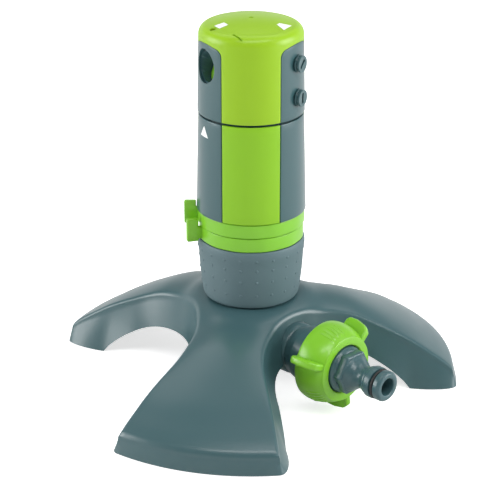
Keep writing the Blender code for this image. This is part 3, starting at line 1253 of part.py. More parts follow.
def make_head(grey, green, head_axis):
    """Make the head's grey shell, with its raised panels, and the green cap that reaches down it."""
    shell_top = HEAD_BOTTOM + PANEL_TOP + 1.0 * MM
    inner = HEAD_CORE_RADIUS
    floor = INLAY_DEPTH + GAP
    shell = turned("head_shell", [(inner, shell_top), (head_radius(shell_top), shell_top),
                                  (HEAD_BOTTOM_RADIUS, HEAD_BOTTOM + 0.5 * MM),
                                  (HEAD_BOTTOM_RADIUS - 0.5 * MM, HEAD_BOTTOM), (inner, HEAD_BOTTOM)],
                   BARREL_FACETS, grey, head_axis)
    low = HEAD_BOTTOM - 1.0 * MM
    high = shell_top + 3.0 * MM
    pocket = turned("head_pocket", [(head_radius(high) - floor, high), (head_radius(high) + 3.0 * MM, high),
                                    (head_radius(low) + 3.0 * MM, low), (head_radius(low) - floor, low)],
                    BARREL_FACETS, parent=head_axis)
    cut(pocket, solid("head_panels", panel_prisms(head_panel_outline(-0.5 * GAP)), parent=head_axis))
    cut(shell, pocket,
        jet_rod("jet_hole", JET_TUBE_BORE + JET_TUBE_WALL + GAP, -14.0 * MM, 6.0 * MM, head_axis),
        fan_rods("fan_holes", FAN_STEM_RADIUS + GAP, PORT_CIRCLE, HEAD_BOTTOM_RADIUS + FAN_REACH, head_axis))
    outer = [(radius, height) for radius, height in crown_arc(0.0, 0.0)]
    inlay = head_radius(HEAD_BOTTOM) - INLAY_DEPTH
    skirt_top = head_radius(shell_top) - INLAY_DEPTH
    dome = dome_points(outer[0][0], HEAD_TOP, CROWN_RISE, (0.0, 0.4, 0.72))
    ceiling = dome_points(HEAD_TOP_RADIUS - 0.8 * CROWN_RADIUS, HEAD_TOP - CAP_THICKNESS,
                          CROWN_RISE + 0.5 * MM, (1.0, 0.6, 0.0))
    cap = turned("head_cap", dome + outer +
                 [(HEAD_BOTTOM_RADIUS, HEAD_BOTTOM + 0.5 * MM), (HEAD_BOTTOM_RADIUS - 0.5 * MM, HEAD_BOTTOM),
                  (inlay, HEAD_BOTTOM), (skirt_top, shell_top + GAP)] + ceiling,
                 BARREL_FACETS, green, head_axis, hollow=False)
    boss = bmesh.new()
    hole = bmesh.new()
    screw_top = HEAD_TOP - RADIUS_SCREW_SINK
    boss_top = HEAD_TOP - CROWN_RISE - CAP_THICKNESS + 1.1 * MM
    bore = RADIUS_SCREW_RADIUS + GAP
    add_rod(boss, bore + 0.9 * MM, screw_spot(screw_top - 6.3 * MM), screw_spot(boss_top), 14)
    add_rod(hole, bore, screw_spot(screw_top - 9.8 * MM), screw_spot(HEAD_TOP + 1.0 * MM), 12)
    cut(cap, solid("cap_panels", panel_prisms(head_panel_outline(0.5 * GAP)), parent=head_axis))
    join(cap, solid("cap_boss", boss, parent=head_axis))
    cut(cap, solid("cap_screw_hole", hole, parent=head_axis))


def dome_points(reach, top, rise, shares):
    """Give points of a shallow dome's profile at shares of its reach."""
    return [(share * reach, top - rise * share ** 2) for share in shares]


def screw_spot(height):
    """Give a point on the radius-adjusting screw's axis."""
    return polar(RADIUS_SCREW_CIRCLE, PANEL_ANGLE_JET, height)


def jet_point(station):
    """Give a point on the main jet's axis. Station zero is on the head's outer surface."""
    height = HEAD_BOTTOM + JET_HEIGHT
    reach = head_radius(height) + station * math.cos(JET_TILT)
    return polar(reach, PANEL_ANGLE_JET, height + station * math.sin(JET_TILT))


def jet_rod(name, radius, start, end, parent, material=None):
    """Make a cylinder on the main jet's axis."""
    return rod(name, radius, jet_point(start), jet_point(end), 24, material, parent)


def fan_rods(name, radius, start, end, parent):
    """Make a cylinder on each fan nozzle's axis."""
    bm = bmesh.new()
    for height in FAN_HEIGHTS:
        add_rod(bm, radius, polar(start, PANEL_ANGLE_FAN, HEAD_BOTTOM + height),
                polar(end, PANEL_ANGLE_FAN, HEAD_BOTTOM + height), 16)
    return solid(name, bm, parent=parent)


def make_manifold(grey, head_axis):
    """Make the head's water ways: one tower to the jet tube, one to the two fan nozzles."""
    outer = HEAD_CORE_RADIUS - GAP
    manifold = turned("head_manifold", ring_profile(PIVOT_RADIUS + GAP, outer, MANIFOLD_BOTTOM, MANIFOLD_TOP),
                      PLATE_FACETS, grey, head_axis)
    fan_top = HEAD_BOTTOM + FAN_HEIGHTS[0] + FAN_STEM_RADIUS + 2.0 * MM
    jet_low = jet_point(-JET_TUBE_LENGTH)
    tower_low = MANIFOLD_TOP - 1.0 * MM
    jet_tower = rod("jet_tower", PORT_RADIUS + 1.3 * MM, polar(PORT_CIRCLE, PANEL_ANGLE_JET, tower_low),
                    polar(PORT_CIRCLE, PANEL_ANGLE_JET, jet_low.z + 1.5 * MM), 20, parent=head_axis)
    fan_tower = rod("fan_tower", PORT_RADIUS + 1.3 * MM, polar(PORT_CIRCLE, PANEL_ANGLE_FAN, tower_low),
                    polar(PORT_CIRCLE, PANEL_ANGLE_FAN, fan_top), 20, parent=head_axis)
    jet_tube = jet_rod("jet_tube", JET_TUBE_BORE + JET_TUBE_WALL, -JET_TUBE_LENGTH, 6.0 * MM, head_axis)
    mouth = HEAD_TOP_RADIUS - 0.9 * MM
    trim = turned("tube_trim", ring_profile(mouth, mouth + 12.0 * MM, MANIFOLD_TOP, HEAD_TOP), PLATE_FACETS,
                  parent=head_axis)
    sockets = fan_rods("fan_sockets", FAN_STEM_RADIUS + GAP + 1.3 * MM, PORT_CIRCLE,
                       outer - 0.6 * MM, head_axis)
    join(manifold, jet_tower, fan_tower, jet_tube, sockets)
    screw_way = rod("screw_way", RADIUS_SCREW_RADIUS + GAP, screw_spot(jet_point(-6.0 * MM).z + 1.0 * MM),
                    screw_spot(HEAD_TOP), 12, parent=head_axis)
    bore_low = MANIFOLD_BOTTOM - 1.0 * MM
    jet_bore_high = jet_point(-JET_TUBE_LENGTH + 5.0 * MM).z
    cut(manifold,
        rod("jet_tower_bore", PORT_RADIUS, polar(PORT_CIRCLE, PANEL_ANGLE_JET, bore_low),
            polar(PORT_CIRCLE, PANEL_ANGLE_JET, jet_bore_high), 20, parent=head_axis),
        rod("fan_tower_bore", PORT_RADIUS, polar(PORT_CIRCLE, PANEL_ANGLE_FAN, bore_low),
            polar(PORT_CIRCLE, PANEL_ANGLE_FAN, fan_top - 1.3 * MM), 20, parent=head_axis),
        jet_rod("jet_bore", JET_TUBE_BORE, -JET_TUBE_LENGTH + 1.6 * MM, 8.0 * MM, head_axis),
        trim,
        fan_rods("fan_socket_bores", FAN_STEM_RADIUS + GAP, PORT_CIRCLE + 1.0 * MM,
                 outer + 1.0 * MM, head_axis),
        screw_way)


def make_jet_nozzle(green, head_axis):
    """Make the green nozzle disc deep in the jet tube."""
    face = -JET_NOZZLE_DEPTH
    back = face - 3.0 * MM
    nozzle = jet_rod("jet_nozzle", JET_TUBE_BORE - GAP, back, face, head_axis, green)
    cut(nozzle, jet_rod("jet_orifice", JET_ORIFICE, back - 1.0 * MM, face + 1.0 * MM, head_axis))


def make_fan_nozzle(number, grey, fan_axis, face_radius):
    """Make one slotted fan nozzle about its own axis, whose zero is on the turret's axis."""
    height = FAN_HEIGHTS[number]
    wall = head_radius(HEAD_BOTTOM + height)
    rim = wall + 0.35 * MM
    face = wall + FAN_REACH
    profile = [(0.0, face), (FAN_RADIUS - 0.3 * MM, face), (FAN_RADIUS, face - 0.3 * MM),
               (FAN_RADIUS, face - 1.0 * MM), (FAN_RADIUS - 0.7 * MM, face - 1.2 * MM),
               (FAN_RADIUS - 0.7 * MM, rim + 0.8 * MM), (FAN_RADIUS + 0.2 * MM, rim + 0.7 * MM),
               (FAN_RADIUS + 0.2 * MM, rim), (FAN_STEM_RADIUS, rim),
               (FAN_STEM_RADIUS, face_radius), (0.0, face_radius)]
    names = ("fan_nozzle_upper", "fan_nozzle_lower")
    nozzle = turned(names[number], profile, 20, grey, fan_axis, hollow=False)
    slot = bmesh.new()
    half = 0.5 * FAN_SLOT_WIDTH
    reach = 0.5 * FAN_SLOT_LENGTH
    add_box(slot, (-reach, -half, face - 1.9 * MM), (reach, half, face + 1.0 * MM), FAN_SLOT_TURNS[number])
    bore = bmesh.new()
    add_rod(bore, 1.6 * MM, (0.0, 0.0, face_radius - 1.0 * MM), (0.0, 0.0, face - 1.2 * MM), 12)
    cut(nozzle, solid(names[number] + "_slot", slot, parent=fan_axis),
        solid(names[number] + "_bore", bore, parent=fan_axis))


def make_radius_screw(steel, screw_axis):
    """Make the screw that breaks up the main jet."""
    high = HEAD_TOP - RADIUS_SCREW_SINK
    low = high - RADIUS_SCREW_LENGTH
    screw = rod("radius_screw", RADIUS_SCREW_RADIUS, (0.0, 0.0, low), (0.0, 0.0, high), 12, steel, screw_axis)
    slot = bmesh.new()
    add_box(slot, (-2.0 * MM, -0.25 * MM, high - 0.7 * MM), (2.0 * MM, 0.25 * MM, high + 1.0 * MM))
    cut(screw, solid("radius_screw_slot", slot, parent=screw_axis))


def make_arc_ring(name, green, ring_axis, outer, inner, bottom, tab_angle, tab_low,
                  stop_outer, stop_low, stop_high):
    """Make an arc ring: the band, its finger tab and the stop that works the trip lever."""
    top = bottom + RING_HEIGHT
    band = turned(name, [(inner, top), (outer - 0.4 * MM, top), (outer, top - 0.4 * MM),
                         (outer, bottom + 0.4 * MM), (outer - 0.4 * MM, bottom), (inner, bottom)],
                  BARREL_FACETS, green, ring_axis)
    clear = TAB_ROOT
    half = 0.5 * TAB_THICKNESS
    root = inner + 0.6 * MM
    corner = TAB_RADIUS - 0.8 * MM
    tab_top = tab_low + TAB_HEIGHT
    tab = [(root, -half, bottom + 0.4 * MM), (clear, -half, bottom + 0.4 * MM), (clear, -half, tab_low),
           (corner, -half, tab_low), (TAB_RADIUS, -half, tab_low + 0.8 * MM),
           (TAB_RADIUS, -half, tab_top - 0.8 * MM), (corner, -half, tab_top),
           (clear, -half, tab_top), (clear, -half, top - 0.4 * MM), (root, -half, top - 0.4 * MM)]
    fin = bmesh.new()
    add_prism(fin, tab, (0.0, TAB_THICKNESS, 0.0), Matrix.Rotation(tab_angle, 4, "Z"))
    stop = bmesh.new()
    stop_inner = NECK_OUTER + 0.4 * MM
    add_box(stop, (stop_inner, -1.2 * MM, stop_low), (stop_outer, 1.2 * MM, stop_high), tab_angle)
    join(band, solid(name + "_tab", fin, parent=ring_axis), solid(name + "_stop", stop, parent=ring_axis))
    return band


def make_arc_rings(green, ring_axis):
    """Make the two rings that set the ends of the watered arc."""
    inner = NECK_OUTER + GAP
    stop_outer = NECK_OUTER + 0.4 * MM + STOP_THICKNESS
    make_arc_ring("arc_ring_lower", green, ring_axis, LOWER_RING_RADIUS, inner, LOWER_RING_BOTTOM,
                  LOWER_TAB_ANGLE, LOWER_RING_BOTTOM - 0.8 * MM, stop_outer,
                  LOWER_RING_BOTTOM + 1.0 * MM, UPPER_RING_TOP)
    wide = stop_outer + GAP
    make_arc_ring("arc_ring_upper", green, ring_axis, UPPER_RING_RADIUS, wide, UPPER_RING_BOTTOM,
                  UPPER_TAB_ANGLE, UPPER_RING_BOTTOM - 1.8 * MM, wide + 0.6 * MM,
                  UPPER_RING_TOP - STOP_HEIGHT, UPPER_RING_TOP)


def build():
    """Build the sprinkler."""
    global PARTS, CUTTERS
    clear_scene()
    PARTS = new_collection("gear_drive_sprinkler")
    CUTTERS = new_collection("cutters")
    slate = new_material("slate_plastic", (0.085, 0.14, 0.15), 0.42)
    panel_grey = new_material("panel_plastic", (0.10, 0.17, 0.18), 0.38)
    matte_grey = new_material("grip_plastic", (0.10, 0.15, 0.165), 0.6)
    lime = new_material("lime_plastic", (0.31, 0.58, 0.02), 0.32)
    acetal = new_material("gear_plastic", (0.75, 0.74, 0.68), 0.4)
    rubber = new_material("seal_rubber", (0.02, 0.02, 0.02), 0.7)
    steel = new_material("stainless_steel", (0.55, 0.55, 0.56), 0.3, 1.0)

    inlet_axis = axis_empty("inlet_axis", (0.0, 0.0, INLET_HEIGHT), (0.0, 0.5 * math.pi, 0.0))
    nut_place = 0.5 * (NUT_BACK + PIPE_END)
    nut_axis = axis_empty("nut_axis", (nut_place, 0.0, INLET_HEIGHT), (0.0, 0.5 * math.pi, 0.0))
    ring_axis = axis_empty("arc_ring_axis")
    turret_axis = axis_empty("turret_axis")
    side_axis = axis_empty("side_gear_axis", side_spot(), parent=turret_axis)
    trip_axis = axis_empty("trip_axis", polar(TRIP_CIRCLE, TRIP_ANGLE), (0.0, 0.0, TRIP_ANGLE), turret_axis)
    head_axis = axis_empty("selector_axis", parent=turret_axis)
    screw_axis = axis_empty("radius_screw_axis", screw_spot(0.0), parent=head_axis)

    make_base(slate)
    make_inlet_elbow(slate, inlet_axis)
    make_base_screws(steel)
    make_strainer(acetal, inlet_axis)
    make_coupling_nut(lime, nut_axis, nut_place)
    make_inlet_washer(rubber, inlet_axis)
    make_hose_adapter(slate, inlet_axis)
    make_nose_ring(rubber, inlet_axis)
    make_grip_collar(matte_grey)
    make_ring_gear(acetal)
    make_thrust_washer(acetal)
    make_riser_seal(rubber)
    make_arc_rings(lime, ring_axis)
    make_turret_base(slate, turret_axis)
    make_spindle_clip(steel, turret_axis)
    make_stator(slate, turret_axis)
    make_gearbox_screws(steel, turret_axis)
    make_shafts(steel, turret_axis, side_axis)
    make_output_gear(acetal, side_axis)
    make_centre_gear(acetal, turret_axis)
    make_side_gear(acetal, side_axis)
    make_turbine(acetal, turret_axis)
    make_trip_lever(acetal, trip_axis)
    make_diverter(acetal, turret_axis)
    make_body(panel_grey, lime, turret_axis)
    make_port_plate(slate, turret_axis)
    make_port_seal(rubber, turret_axis)
    make_detent(steel, turret_axis)
    make_selector_pivot(steel, head_axis)
    make_head(panel_grey, lime, head_axis)
    make_manifold(slate, head_axis)
    make_jet_nozzle(lime, head_axis)
    make_radius_screw(steel, screw_axis)
    for number, height in enumerate(FAN_HEIGHTS):
        place = Vector((0.0, 0.0, HEAD_BOTTOM + height))
        turn = (0.0, 0.5 * math.pi, PANEL_ANGLE_FAN)
        fan_axis = axis_empty("fan_axis_%d" % (number + 1), place, turn, head_axis)
        make_fan_nozzle(number, panel_grey, fan_axis, PORT_CIRCLE + PORT_RADIUS + 1.0 * MM)


build()
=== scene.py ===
"""Dress the gear-drive sprinkler: smooth moulded shells, grip texture, seals, studio light and camera."""
import json
import math

import bmesh
import bpy
from mathutils import Matrix, Vector


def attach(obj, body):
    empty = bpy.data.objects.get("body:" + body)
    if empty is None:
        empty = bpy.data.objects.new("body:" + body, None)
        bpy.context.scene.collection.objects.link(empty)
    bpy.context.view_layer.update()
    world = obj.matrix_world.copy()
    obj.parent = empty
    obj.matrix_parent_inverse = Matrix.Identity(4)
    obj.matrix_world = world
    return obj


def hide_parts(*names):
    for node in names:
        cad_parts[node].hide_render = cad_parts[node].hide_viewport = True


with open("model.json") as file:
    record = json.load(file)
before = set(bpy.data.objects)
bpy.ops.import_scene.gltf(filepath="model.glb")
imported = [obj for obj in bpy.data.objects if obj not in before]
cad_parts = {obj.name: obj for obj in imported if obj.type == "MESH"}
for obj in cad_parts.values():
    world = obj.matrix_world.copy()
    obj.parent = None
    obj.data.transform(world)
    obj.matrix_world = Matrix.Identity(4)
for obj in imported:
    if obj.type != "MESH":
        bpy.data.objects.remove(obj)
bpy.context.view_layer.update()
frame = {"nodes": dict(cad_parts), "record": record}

# Lengths are in millimetres, apart from the studio's, which are in metres
MM = 0.001
QUARTER = 0.5 * math.pi
SIXTH = math.pi / 3.0
THIRD = 2.0 * math.pi / 3.0

# Base
LEG_ANGLES = [SIXTH, math.pi, -SIXTH]
BAY_ANGLES = [0.0, THIRD, -THIRD]
BAY_RADIUS = 51.0
BAY_VERTEX = 30.5
BAY_CENTRE = BAY_RADIUS + BAY_VERTEX
BAY_SPREAD = math.radians(54.5)
BAY_FLARE = 7.0
FLARE_AT_VERTEX = 0.53
FLARE_ROUND_ARC = 0.41
FLARE_ALONG_LINE = 0.2
FLARE_HELD = 0.48
LINE_EASE = 1.5
RIM_TOP = 106.0
RIM_FOOT = 108.0
BASE_WALL = 2.6
EDGE_ROUND = 2.1
INNER_ROUND = 1.2
ARCH_HEIGHT = 22.5
ARCH_REACH = 40.0
ARCH_POWER = 0.85
HUB_HOLE = 11.0
HUB_BLEND = (25.0, 40.0)
VALLEY_POWER = 2.2
CREST = [(0.0, 48.0), (20.0, 48.0), (27.0, 47.9), (31.0, 46.9), (36.0, 45.1), (45.0, 42.8), (54.0, 40.0),
         (64.0, 35.4), (75.5, 29.4), (86.4, 23.4), (95.0, 17.9), (100.4, 14.4), (103.4, 12.1), (106.0, 10.0)]
VALLEY_DROP = [(20.0, 0.0), (30.5, 2.8), (43.0, 3.5), (54.0, 3.1), (65.0, 2.4), (80.0, 0.9), (106.0, 0.4)]
ARC_STEPS = 22
LINE_STEPS = 16
SIDE_STEPS = ARC_STEPS + LINE_STEPS
RIM_STEPS = 30
LEG_STEPS = 2 * SIDE_STEPS + RIM_STEPS
HUB_STEPS = 10
EDGE_STEPS = 6
WALL_STEPS = 7
SLEEVE_HOLE = 13.55

# Barrel
BODY_BOTTOM = 95.6
BODY_TOP = 146.4
BODY_RADII = (27.75, 26.4)
HEAD_BOTTOM = 147.7
HEAD_TOP = 194.3
HEAD_RADII = (26.75, 25.95)
PANEL_WALL = 1.6
STRIPE_WALL = 1.4
CORE_INSET = 1.7
CORE_STEP = 0.4
BODY_BORE = 23.3
SEAM_RIM = 23.9
SEAM_RIM_HEIGHT = 1.1
HEAD_BORE = 22.7
CROWN_RADIUS = 5.0
CROWN_RISE = 2.8
CROWN_FLAT = HEAD_RADII[1] - CROWN_RADIUS
CROWN_BASE = HEAD_TOP - CROWN_RISE - CROWN_RADIUS
CROWN_SHARES = (0.92, 0.84, 0.74, 0.64, 0.54, 0.42, 0.3, 0.15)
STRIPE_HALF = 14.45
SEAM = 0.16
PANEL_TOP = 185.1
PANEL_SIDE_TOP = 181.0
PANEL_CORNER = 2.6
PANEL_ARCH = 0.017
OUTLINE_STEPS = 12
FINGER_COLUMNS = 24
STRIPE_ANGLES = [math.radians(-45.0), math.radians(75.0), math.radians(195.0)]
PANEL_ANGLES = [angle + SIXTH for angle in STRIPE_ANGLES]
FAN_PANEL = 0
JET_PANEL = 2

# Outlets, marks and the cap's small cuts
JET_ANGLE = math.radians(-105.0)
JET_TILT = math.radians(25.0)
JET_HEIGHT = 173.7
JET_HOLE = 7.9
JET_MOUTH = (6.5, 7.75)
JET_INSERT = [(1.9, -9.0), (6.0, -8.6), (6.0, -12.0), (2.4, -12.0)]
FAN_ANGLE = math.radians(15.0)
FAN_HEIGHTS = (175.0, 157.7)
FAN_SLOT_TURNS = (math.radians(-45.0), 0.0)
FAN_HOLE = 3.4
FAN_STAND = 2.8
FAN_TAIL = 16.2
FAN_SLOT = (2.6, 0.75)
FAN_BORE = 1.6
MARK_LIFT = 0.06
POINTER_TOP = 142.7
POINTER_LENGTH = 5.4
POINTER_LIFT = 0.05
POINTER_HALVES = (math.radians(0.3), math.radians(7.9))
ADJUSTER_RADIUS = 1.6
ADJUSTER_PLACE = (21.4, JET_ANGLE + math.radians(0.5))
ADJUSTER_SPAN = (180.0, 198.0)
GROOVE_RADIUS = 0.6
GROOVE_ENDS = ((21.8, math.radians(-68.3), -0.02), (24.9, math.radians(-54.6), 0.08))
DIMPLE_RADIUS = 1.1
DIMPLE_DEPTH = 0.3

# Grip collar
COLLAR_BOTTOM = 48.5
COLLAR_TOP = 80.3
COLLAR_OUTSIDE = [(48.5, 22.9), (48.8, 23.7), (49.5, 24.25), (52.0, 24.9), (56.2, 25.5), (63.5, 26.25),
                  (70.9, 26.75), (79.4, 27.2), (80.3, 26.8)]
COLLAR_NECK = [(22.0, 93.5), (22.0, 80.3)]
COLLAR_INSIDE = [(14.5, 48.5), (14.5, 48.3), (10.9, 48.3), (10.9, 52.3), (21.7, 52.3), (21.7, 77.4),
                 (16.1, 77.4), (16.1, 83.2), (19.0, 83.2), (19.0, 93.5)]
PIP_ROWS = (75.6, 70.3, 63.8, 56.2)
PIPS_ROUND = 20
PIP_SHIFT = 0.85
PIP_RADIUS = 0.75
PIP_FLATNESS = 0.4
PIP_SINK = 0.05
PIP_SEED = 0.05

# Arc rings
LOWER_RING = {"low": 80.6, "high": 87.8, "radius": 26.7, "bore": 22.3, "tab_angle": math.radians(-118.0),
              "tab_low": 79.8, "stop": (22.4, 23.7, 81.6, 95.3)}
UPPER_RING = {"low": 88.1, "high": 95.3, "radius": 27.1, "bore": 24.0, "tab_angle": math.radians(-135.0),
              "tab_low": 86.3, "stop": (22.4, 24.6, 93.8, 95.3)}
SCALLOPS = 12
SCALLOP_DEPTH = 0.18
TAB_ROOT = 28.05
TAB_TIP = 34.1
TAB_HEIGHT = 12.2
TAB_HALF = 1.25
TAB_CORNER = 0.9
TAB_SINK = 0.6
TAB_STEP = 0.4
STOP_HALF = 1.2

# Inlet
INLET_HEIGHT = 26.5
RISER = [(0.0, 78.0), (10.5, 78.0), (10.5, 38.7), (22.3, 38.7), (22.3, 35.7), (10.5, 35.7), (10.5, 0.0),
         (0.0, 0.0)]
PIPE = [(0.0, 60.0), (14.4, 60.0), (14.4, 41.5), (12.9, 36.4), (12.4, 35.8), (13.0, 35.2), (13.4, 33.5),
        (13.4, 8.0), (10.5, 1.0), (0.0, 1.0)]
BORES = [("riser_bore", 9.2, (0.0, 0.0, 21.0), (0.0, 0.0, 75.6)),
         ("lip_bore", 7.8, (0.0, 0.0, 26.0), (0.0, 0.0, 79.0)),
         ("pipe_bore", 11.0, (10.5, 0.0, INLET_HEIGHT), (61.0, 0.0, INLET_HEIGHT)),
         ("elbow_bore", 8.25, (0.0, 0.0, INLET_HEIGHT), (11.5, 0.0, INLET_HEIGHT))]
FLANGE_HOLE = 1.6
FLANGE_CIRCLE = 18.5
FLANGE_SPAN = (34.0, 40.0)
FLANGE_ANGLES = [math.radians(100.0), math.radians(180.0), math.radians(260.0)]
NUT_FRONT = 67.1
NUT_WALL = (66.3, 51.2)
NUT_PLAIN = 17.0
NUT_OUTSIDE = [(50.6, 20.3), (53.0, 20.75), (56.0, 20.75), (60.0, 20.0), (63.5, 18.75), (66.3, 17.1)]
NUT_INSIDE = [(20.0, 50.75), (19.6, 50.6), (15.3, 50.6), (14.9, 51.0), (14.9, 65.2), (12.5, 65.2)]
RIB_PITCH = math.radians(6.5)
RIB_WIDTH = 0.24
RIB_HEIGHT = 0.42
RIB_START = 56.6
RIB_END = 65.2
WING_ANGLE = math.radians(40.0)
WING_HALF = 1.9
WING = [(16.5, 50.9), (24.6, 50.9), (26.0, 52.6), (26.1, 57.2), (24.7, 63.3), (22.1, 66.2), (16.5, 66.4)]
ADAPTER = [(4.45, 94.6), (4.9, 95.0), (6.7, 95.0), (7.8, 93.9), (7.8, 91.2), (6.05, 91.2), (6.05, 88.7),
           (8.1, 88.7), (8.1, 85.4), (7.2, 84.6), (7.2, 83.4), (6.5, 82.4), (6.0, 81.0), (6.0, 79.5),
           (6.6, 77.2), (8.0, 75.0), (9.4, 73.6), (9.4, 69.4), (10.6, 69.4), (10.9, 68.6), (11.9, 67.4),
           (11.9, 65.0), (14.0, 65.0), (14.0, 62.4), (4.45, 62.4)]
HEXAGON_RADIUS = 11.5
HEXAGON_TURN = 0.5
HEXAGON_BACK = 68.6
HEXAGON_LENGTH = 4.9
HEXAGON_BORE = 4.6
SEAL_CENTRE = (6.95, 89.95)
SEAL_RADIUS = 0.85

# Studio
WHITE = (1.0, 1.0, 1.0, 1.0)
FLOOR_COLOUR = (0.82, 0.82, 0.82, 1.0)
FLOOR_SIZE = 6.0
FLOOR_DROP = 0.0004
FLOOR_GLOW = 0.7
WALL_LIGHT = 1.0
CEILING_LIGHT = 0.24
FRONT_SHARE = 0.55
FRONT_HEADING = math.radians(-44.9)
FRONT_WAY = Vector((math.cos(FRONT_HEADING), math.sin(FRONT_HEADING), 0.0))
RIGHT_WAY = Vector((-FRONT_WAY.y, FRONT_WAY.x, 0.0))
LIGHT_TARGET = Vector((0.0, 0.0, 0.08))
LIGHTS = [("overhead", (0.2, 0.75, 1.35), (1.5, 0.35), 12.0),
          ("back", (0.0, -0.5, 1.2), (1.7, 0.7), 6.0),
          ("left", (-1.3, 0.1, 0.42), (0.8, 0.7), 11.5),
          ("right", (1.3, 0.2, 0.42), (0.8, 0.7), 13.0)]
LENS = 133.34
LENS_SHIFT = -0.0024
CAMERA_PLACE = (0.6198, -0.6176, 0.445)
CAMERA_TURN = (math.radians(66.85), 0.0, math.radians(45.1))


# Curves and rows of points


def between(start, end, share):
    """Give the value at a share of the way from one to another."""
    return start + (end - start) * share


def spaced(start, end, count):
    """Give a number of evenly spaced values, with both ends."""
    return [between(start, end, step / (count - 1)) for step in range(count)]


def polar(radius, angle, height=0.0):
    """Give a point about the turret's axis."""
    return (radius * math.cos(angle), radius * math.sin(angle), height)


def smooth_step(value, low, high):
    """Rise smoothly from 0 to 1 between two values."""
    share = min(1.0, max(0.0, (value - low) / (high - low)))
    return share * share * (3.0 - 2.0 * share)


def smooth_curve(value, stations):
    """Read a smooth curve that runs through (place, result) stations."""
    value = min(max(value, stations[0][0]), stations[-1][0])
    index = next(number for number in range(1, len(stations)) if value <= stations[number][0])
    slopes = [(b[1] - a[1]) / (b[0] - a[0]) for a, b in zip(stations, stations[1:])]
    slopes = [slopes[0]] + slopes + [slopes[-1]]
    low, start = stations[index - 1]
    high, end = stations[index]
    span = high - low
    leaving = 0.5 * (slopes[index - 1] + slopes[index]) * span
    arriving = 0.5 * (slopes[index] + slopes[index + 1]) * span
    share = (value - low) / span
    square = share ** 2
    cube = share ** 3
    return ((2.0 * cube - 3.0 * square + 1.0) * start + (cube - 2.0 * square + share) * leaving +
            (3.0 * square - 2.0 * cube) * end + (cube - square) * arriving)


def arc(centre, radius, start, turn, steps):
    """Give the points of an arc about a centre, with both ends."""
    angles = spaced(start, start + turn, steps + 1)
    return [(centre[0] + radius * math.cos(angle), centre[1] + radius * math.sin(angle)) for angle in angles]


def filleted(profile, radius, segments=3):
    """Round the corners of a closed (radius, height) profile."""
    result = []
    for index, corner in enumerate(profile):
        here = Vector(corner)
        inward = Vector(profile[index - 1]) - here
        outward = Vector(profile[(index + 1) % len(profile)]) - here
        if here.x < 0.01 or inward.length < 0.05 or outward.length < 0.05:
            result.append(corner)
            continue
        reach = min(radius, 0.45 * inward.length, 0.45 * outward.length)
        start = here + inward.normalized() * reach
        end = here + outward.normalized() * reach
        for share in spaced(0.0, 1.0, segments + 1):
            result.append(tuple(start.lerp(here, share).lerp(here.lerp(end, share), share)))
    return result


def grid_faces(rows, columns, start=0, wrap=False, closed=False):
    """Give the quads between rows of points, wrapped round and closed from last row to first if asked."""
    faces = []
    for row in range(rows if closed else rows - 1):
        low = start + row * columns
        high = start + (row + 1) % rows * columns
        for column in range(columns if wrap else columns - 1):
            after = (column + 1) % columns
            faces.append((low + column, low + after, high + after, high + column))
    return faces


def strip_faces(low, high, count):
    """Give the quads between two rows by the numbers of their first points."""
    return [(low + step, low + step + 1, high + step + 1, high + step) for step in range(count)]


# Making and changing pieces


def linked(name, data):
    """Put a mesh, a light or a camera in the scene."""
    item = bpy.data.objects.new(name, data)
    bpy.context.scene.collection.objects.link(item)
    return item


def mesh_piece(name, points, faces):
    """Make an object of points and faces."""
    mesh = bpy.data.meshes.new(name)
    mesh.from_pydata([tuple(length * MM for length in point) for point in points], [], faces)
    return linked(name, mesh)


def from_bmesh(name, bm):
    """Make an object of a mesh that was being worked on."""
    mesh = bpy.data.meshes.new(name)
    bm.to_mesh(mesh)
    bm.free()
    return linked(name, mesh)


def tidy(item, distance=0.002):
    """Merge doubled points and point the faces out."""
    bm = bmesh.new()
    bm.from_mesh(item.data)
    bmesh.ops.remove_doubles(bm, verts=bm.verts, dist=distance * MM)
    bmesh.ops.dissolve_degenerate(bm, edges=bm.edges, dist=0.0005 * MM)
    bmesh.ops.recalc_face_normals(bm, faces=bm.faces)
    bm.to_mesh(item.data)
    bm.free()
    return item


def baked(item):
    """Apply an object's modifiers and its place, so that it sits at the origin."""
    depsgraph = bpy.context.evaluated_depsgraph_get()
    mesh = bpy.data.meshes.new_from_object(item.evaluated_get(depsgraph), depsgraph=depsgraph)
    mesh.transform(item.matrix_world)
    item.modifiers.clear()
    item.parent = None
    item.matrix_world = Matrix.Identity(4)
    item.data = mesh
    return item


def rounded(item, width, segments=2, angle=35.0):
    """Round the sharp edges of a piece."""
    bevel = item.modifiers.new("round", "BEVEL")
    bevel.width = width * MM
    bevel.segments = segments
    bevel.limit_method = "ANGLE"
    bevel.angle_limit = math.radians(angle)
    bevel.harden_normals = False
    return item


def thickened(item, wall):
    """Give a sheet a wall on its inner side."""
    solid = item.modifiers.new("wall", "SOLIDIFY")
    solid.thickness = wall * MM
    solid.offset = -1.0
    solid.use_even_offset = True
    return item


def cut(item, tool, operation="DIFFERENCE"):
    """Cut a tool out of a piece, or join it on, then drop the tool."""
    change = item.modifiers.new("tool", "BOOLEAN")
    change.operation = operation
    change.object = tool
    baked(item)
    bpy.data.objects.remove(tool, do_unlink=True)
    return item


def merged(name, pieces):
    """Put several pieces in one object, as loose shells."""
    bm = bmesh.new()
    for piece in pieces:
        if piece.modifiers:
            baked(piece)
        piece.data.transform(piece.matrix_world)
        bm.from_mesh(piece.data)
        bpy.data.objects.remove(piece, do_unlink=True)
    return from_bmesh(name, bm)


def turn_to(axis):
    """Give the turn that lays Z along an axis."""
    return Vector((0.0, 0.0, 1.0)).rotation_difference(axis).to_matrix().to_4x4()


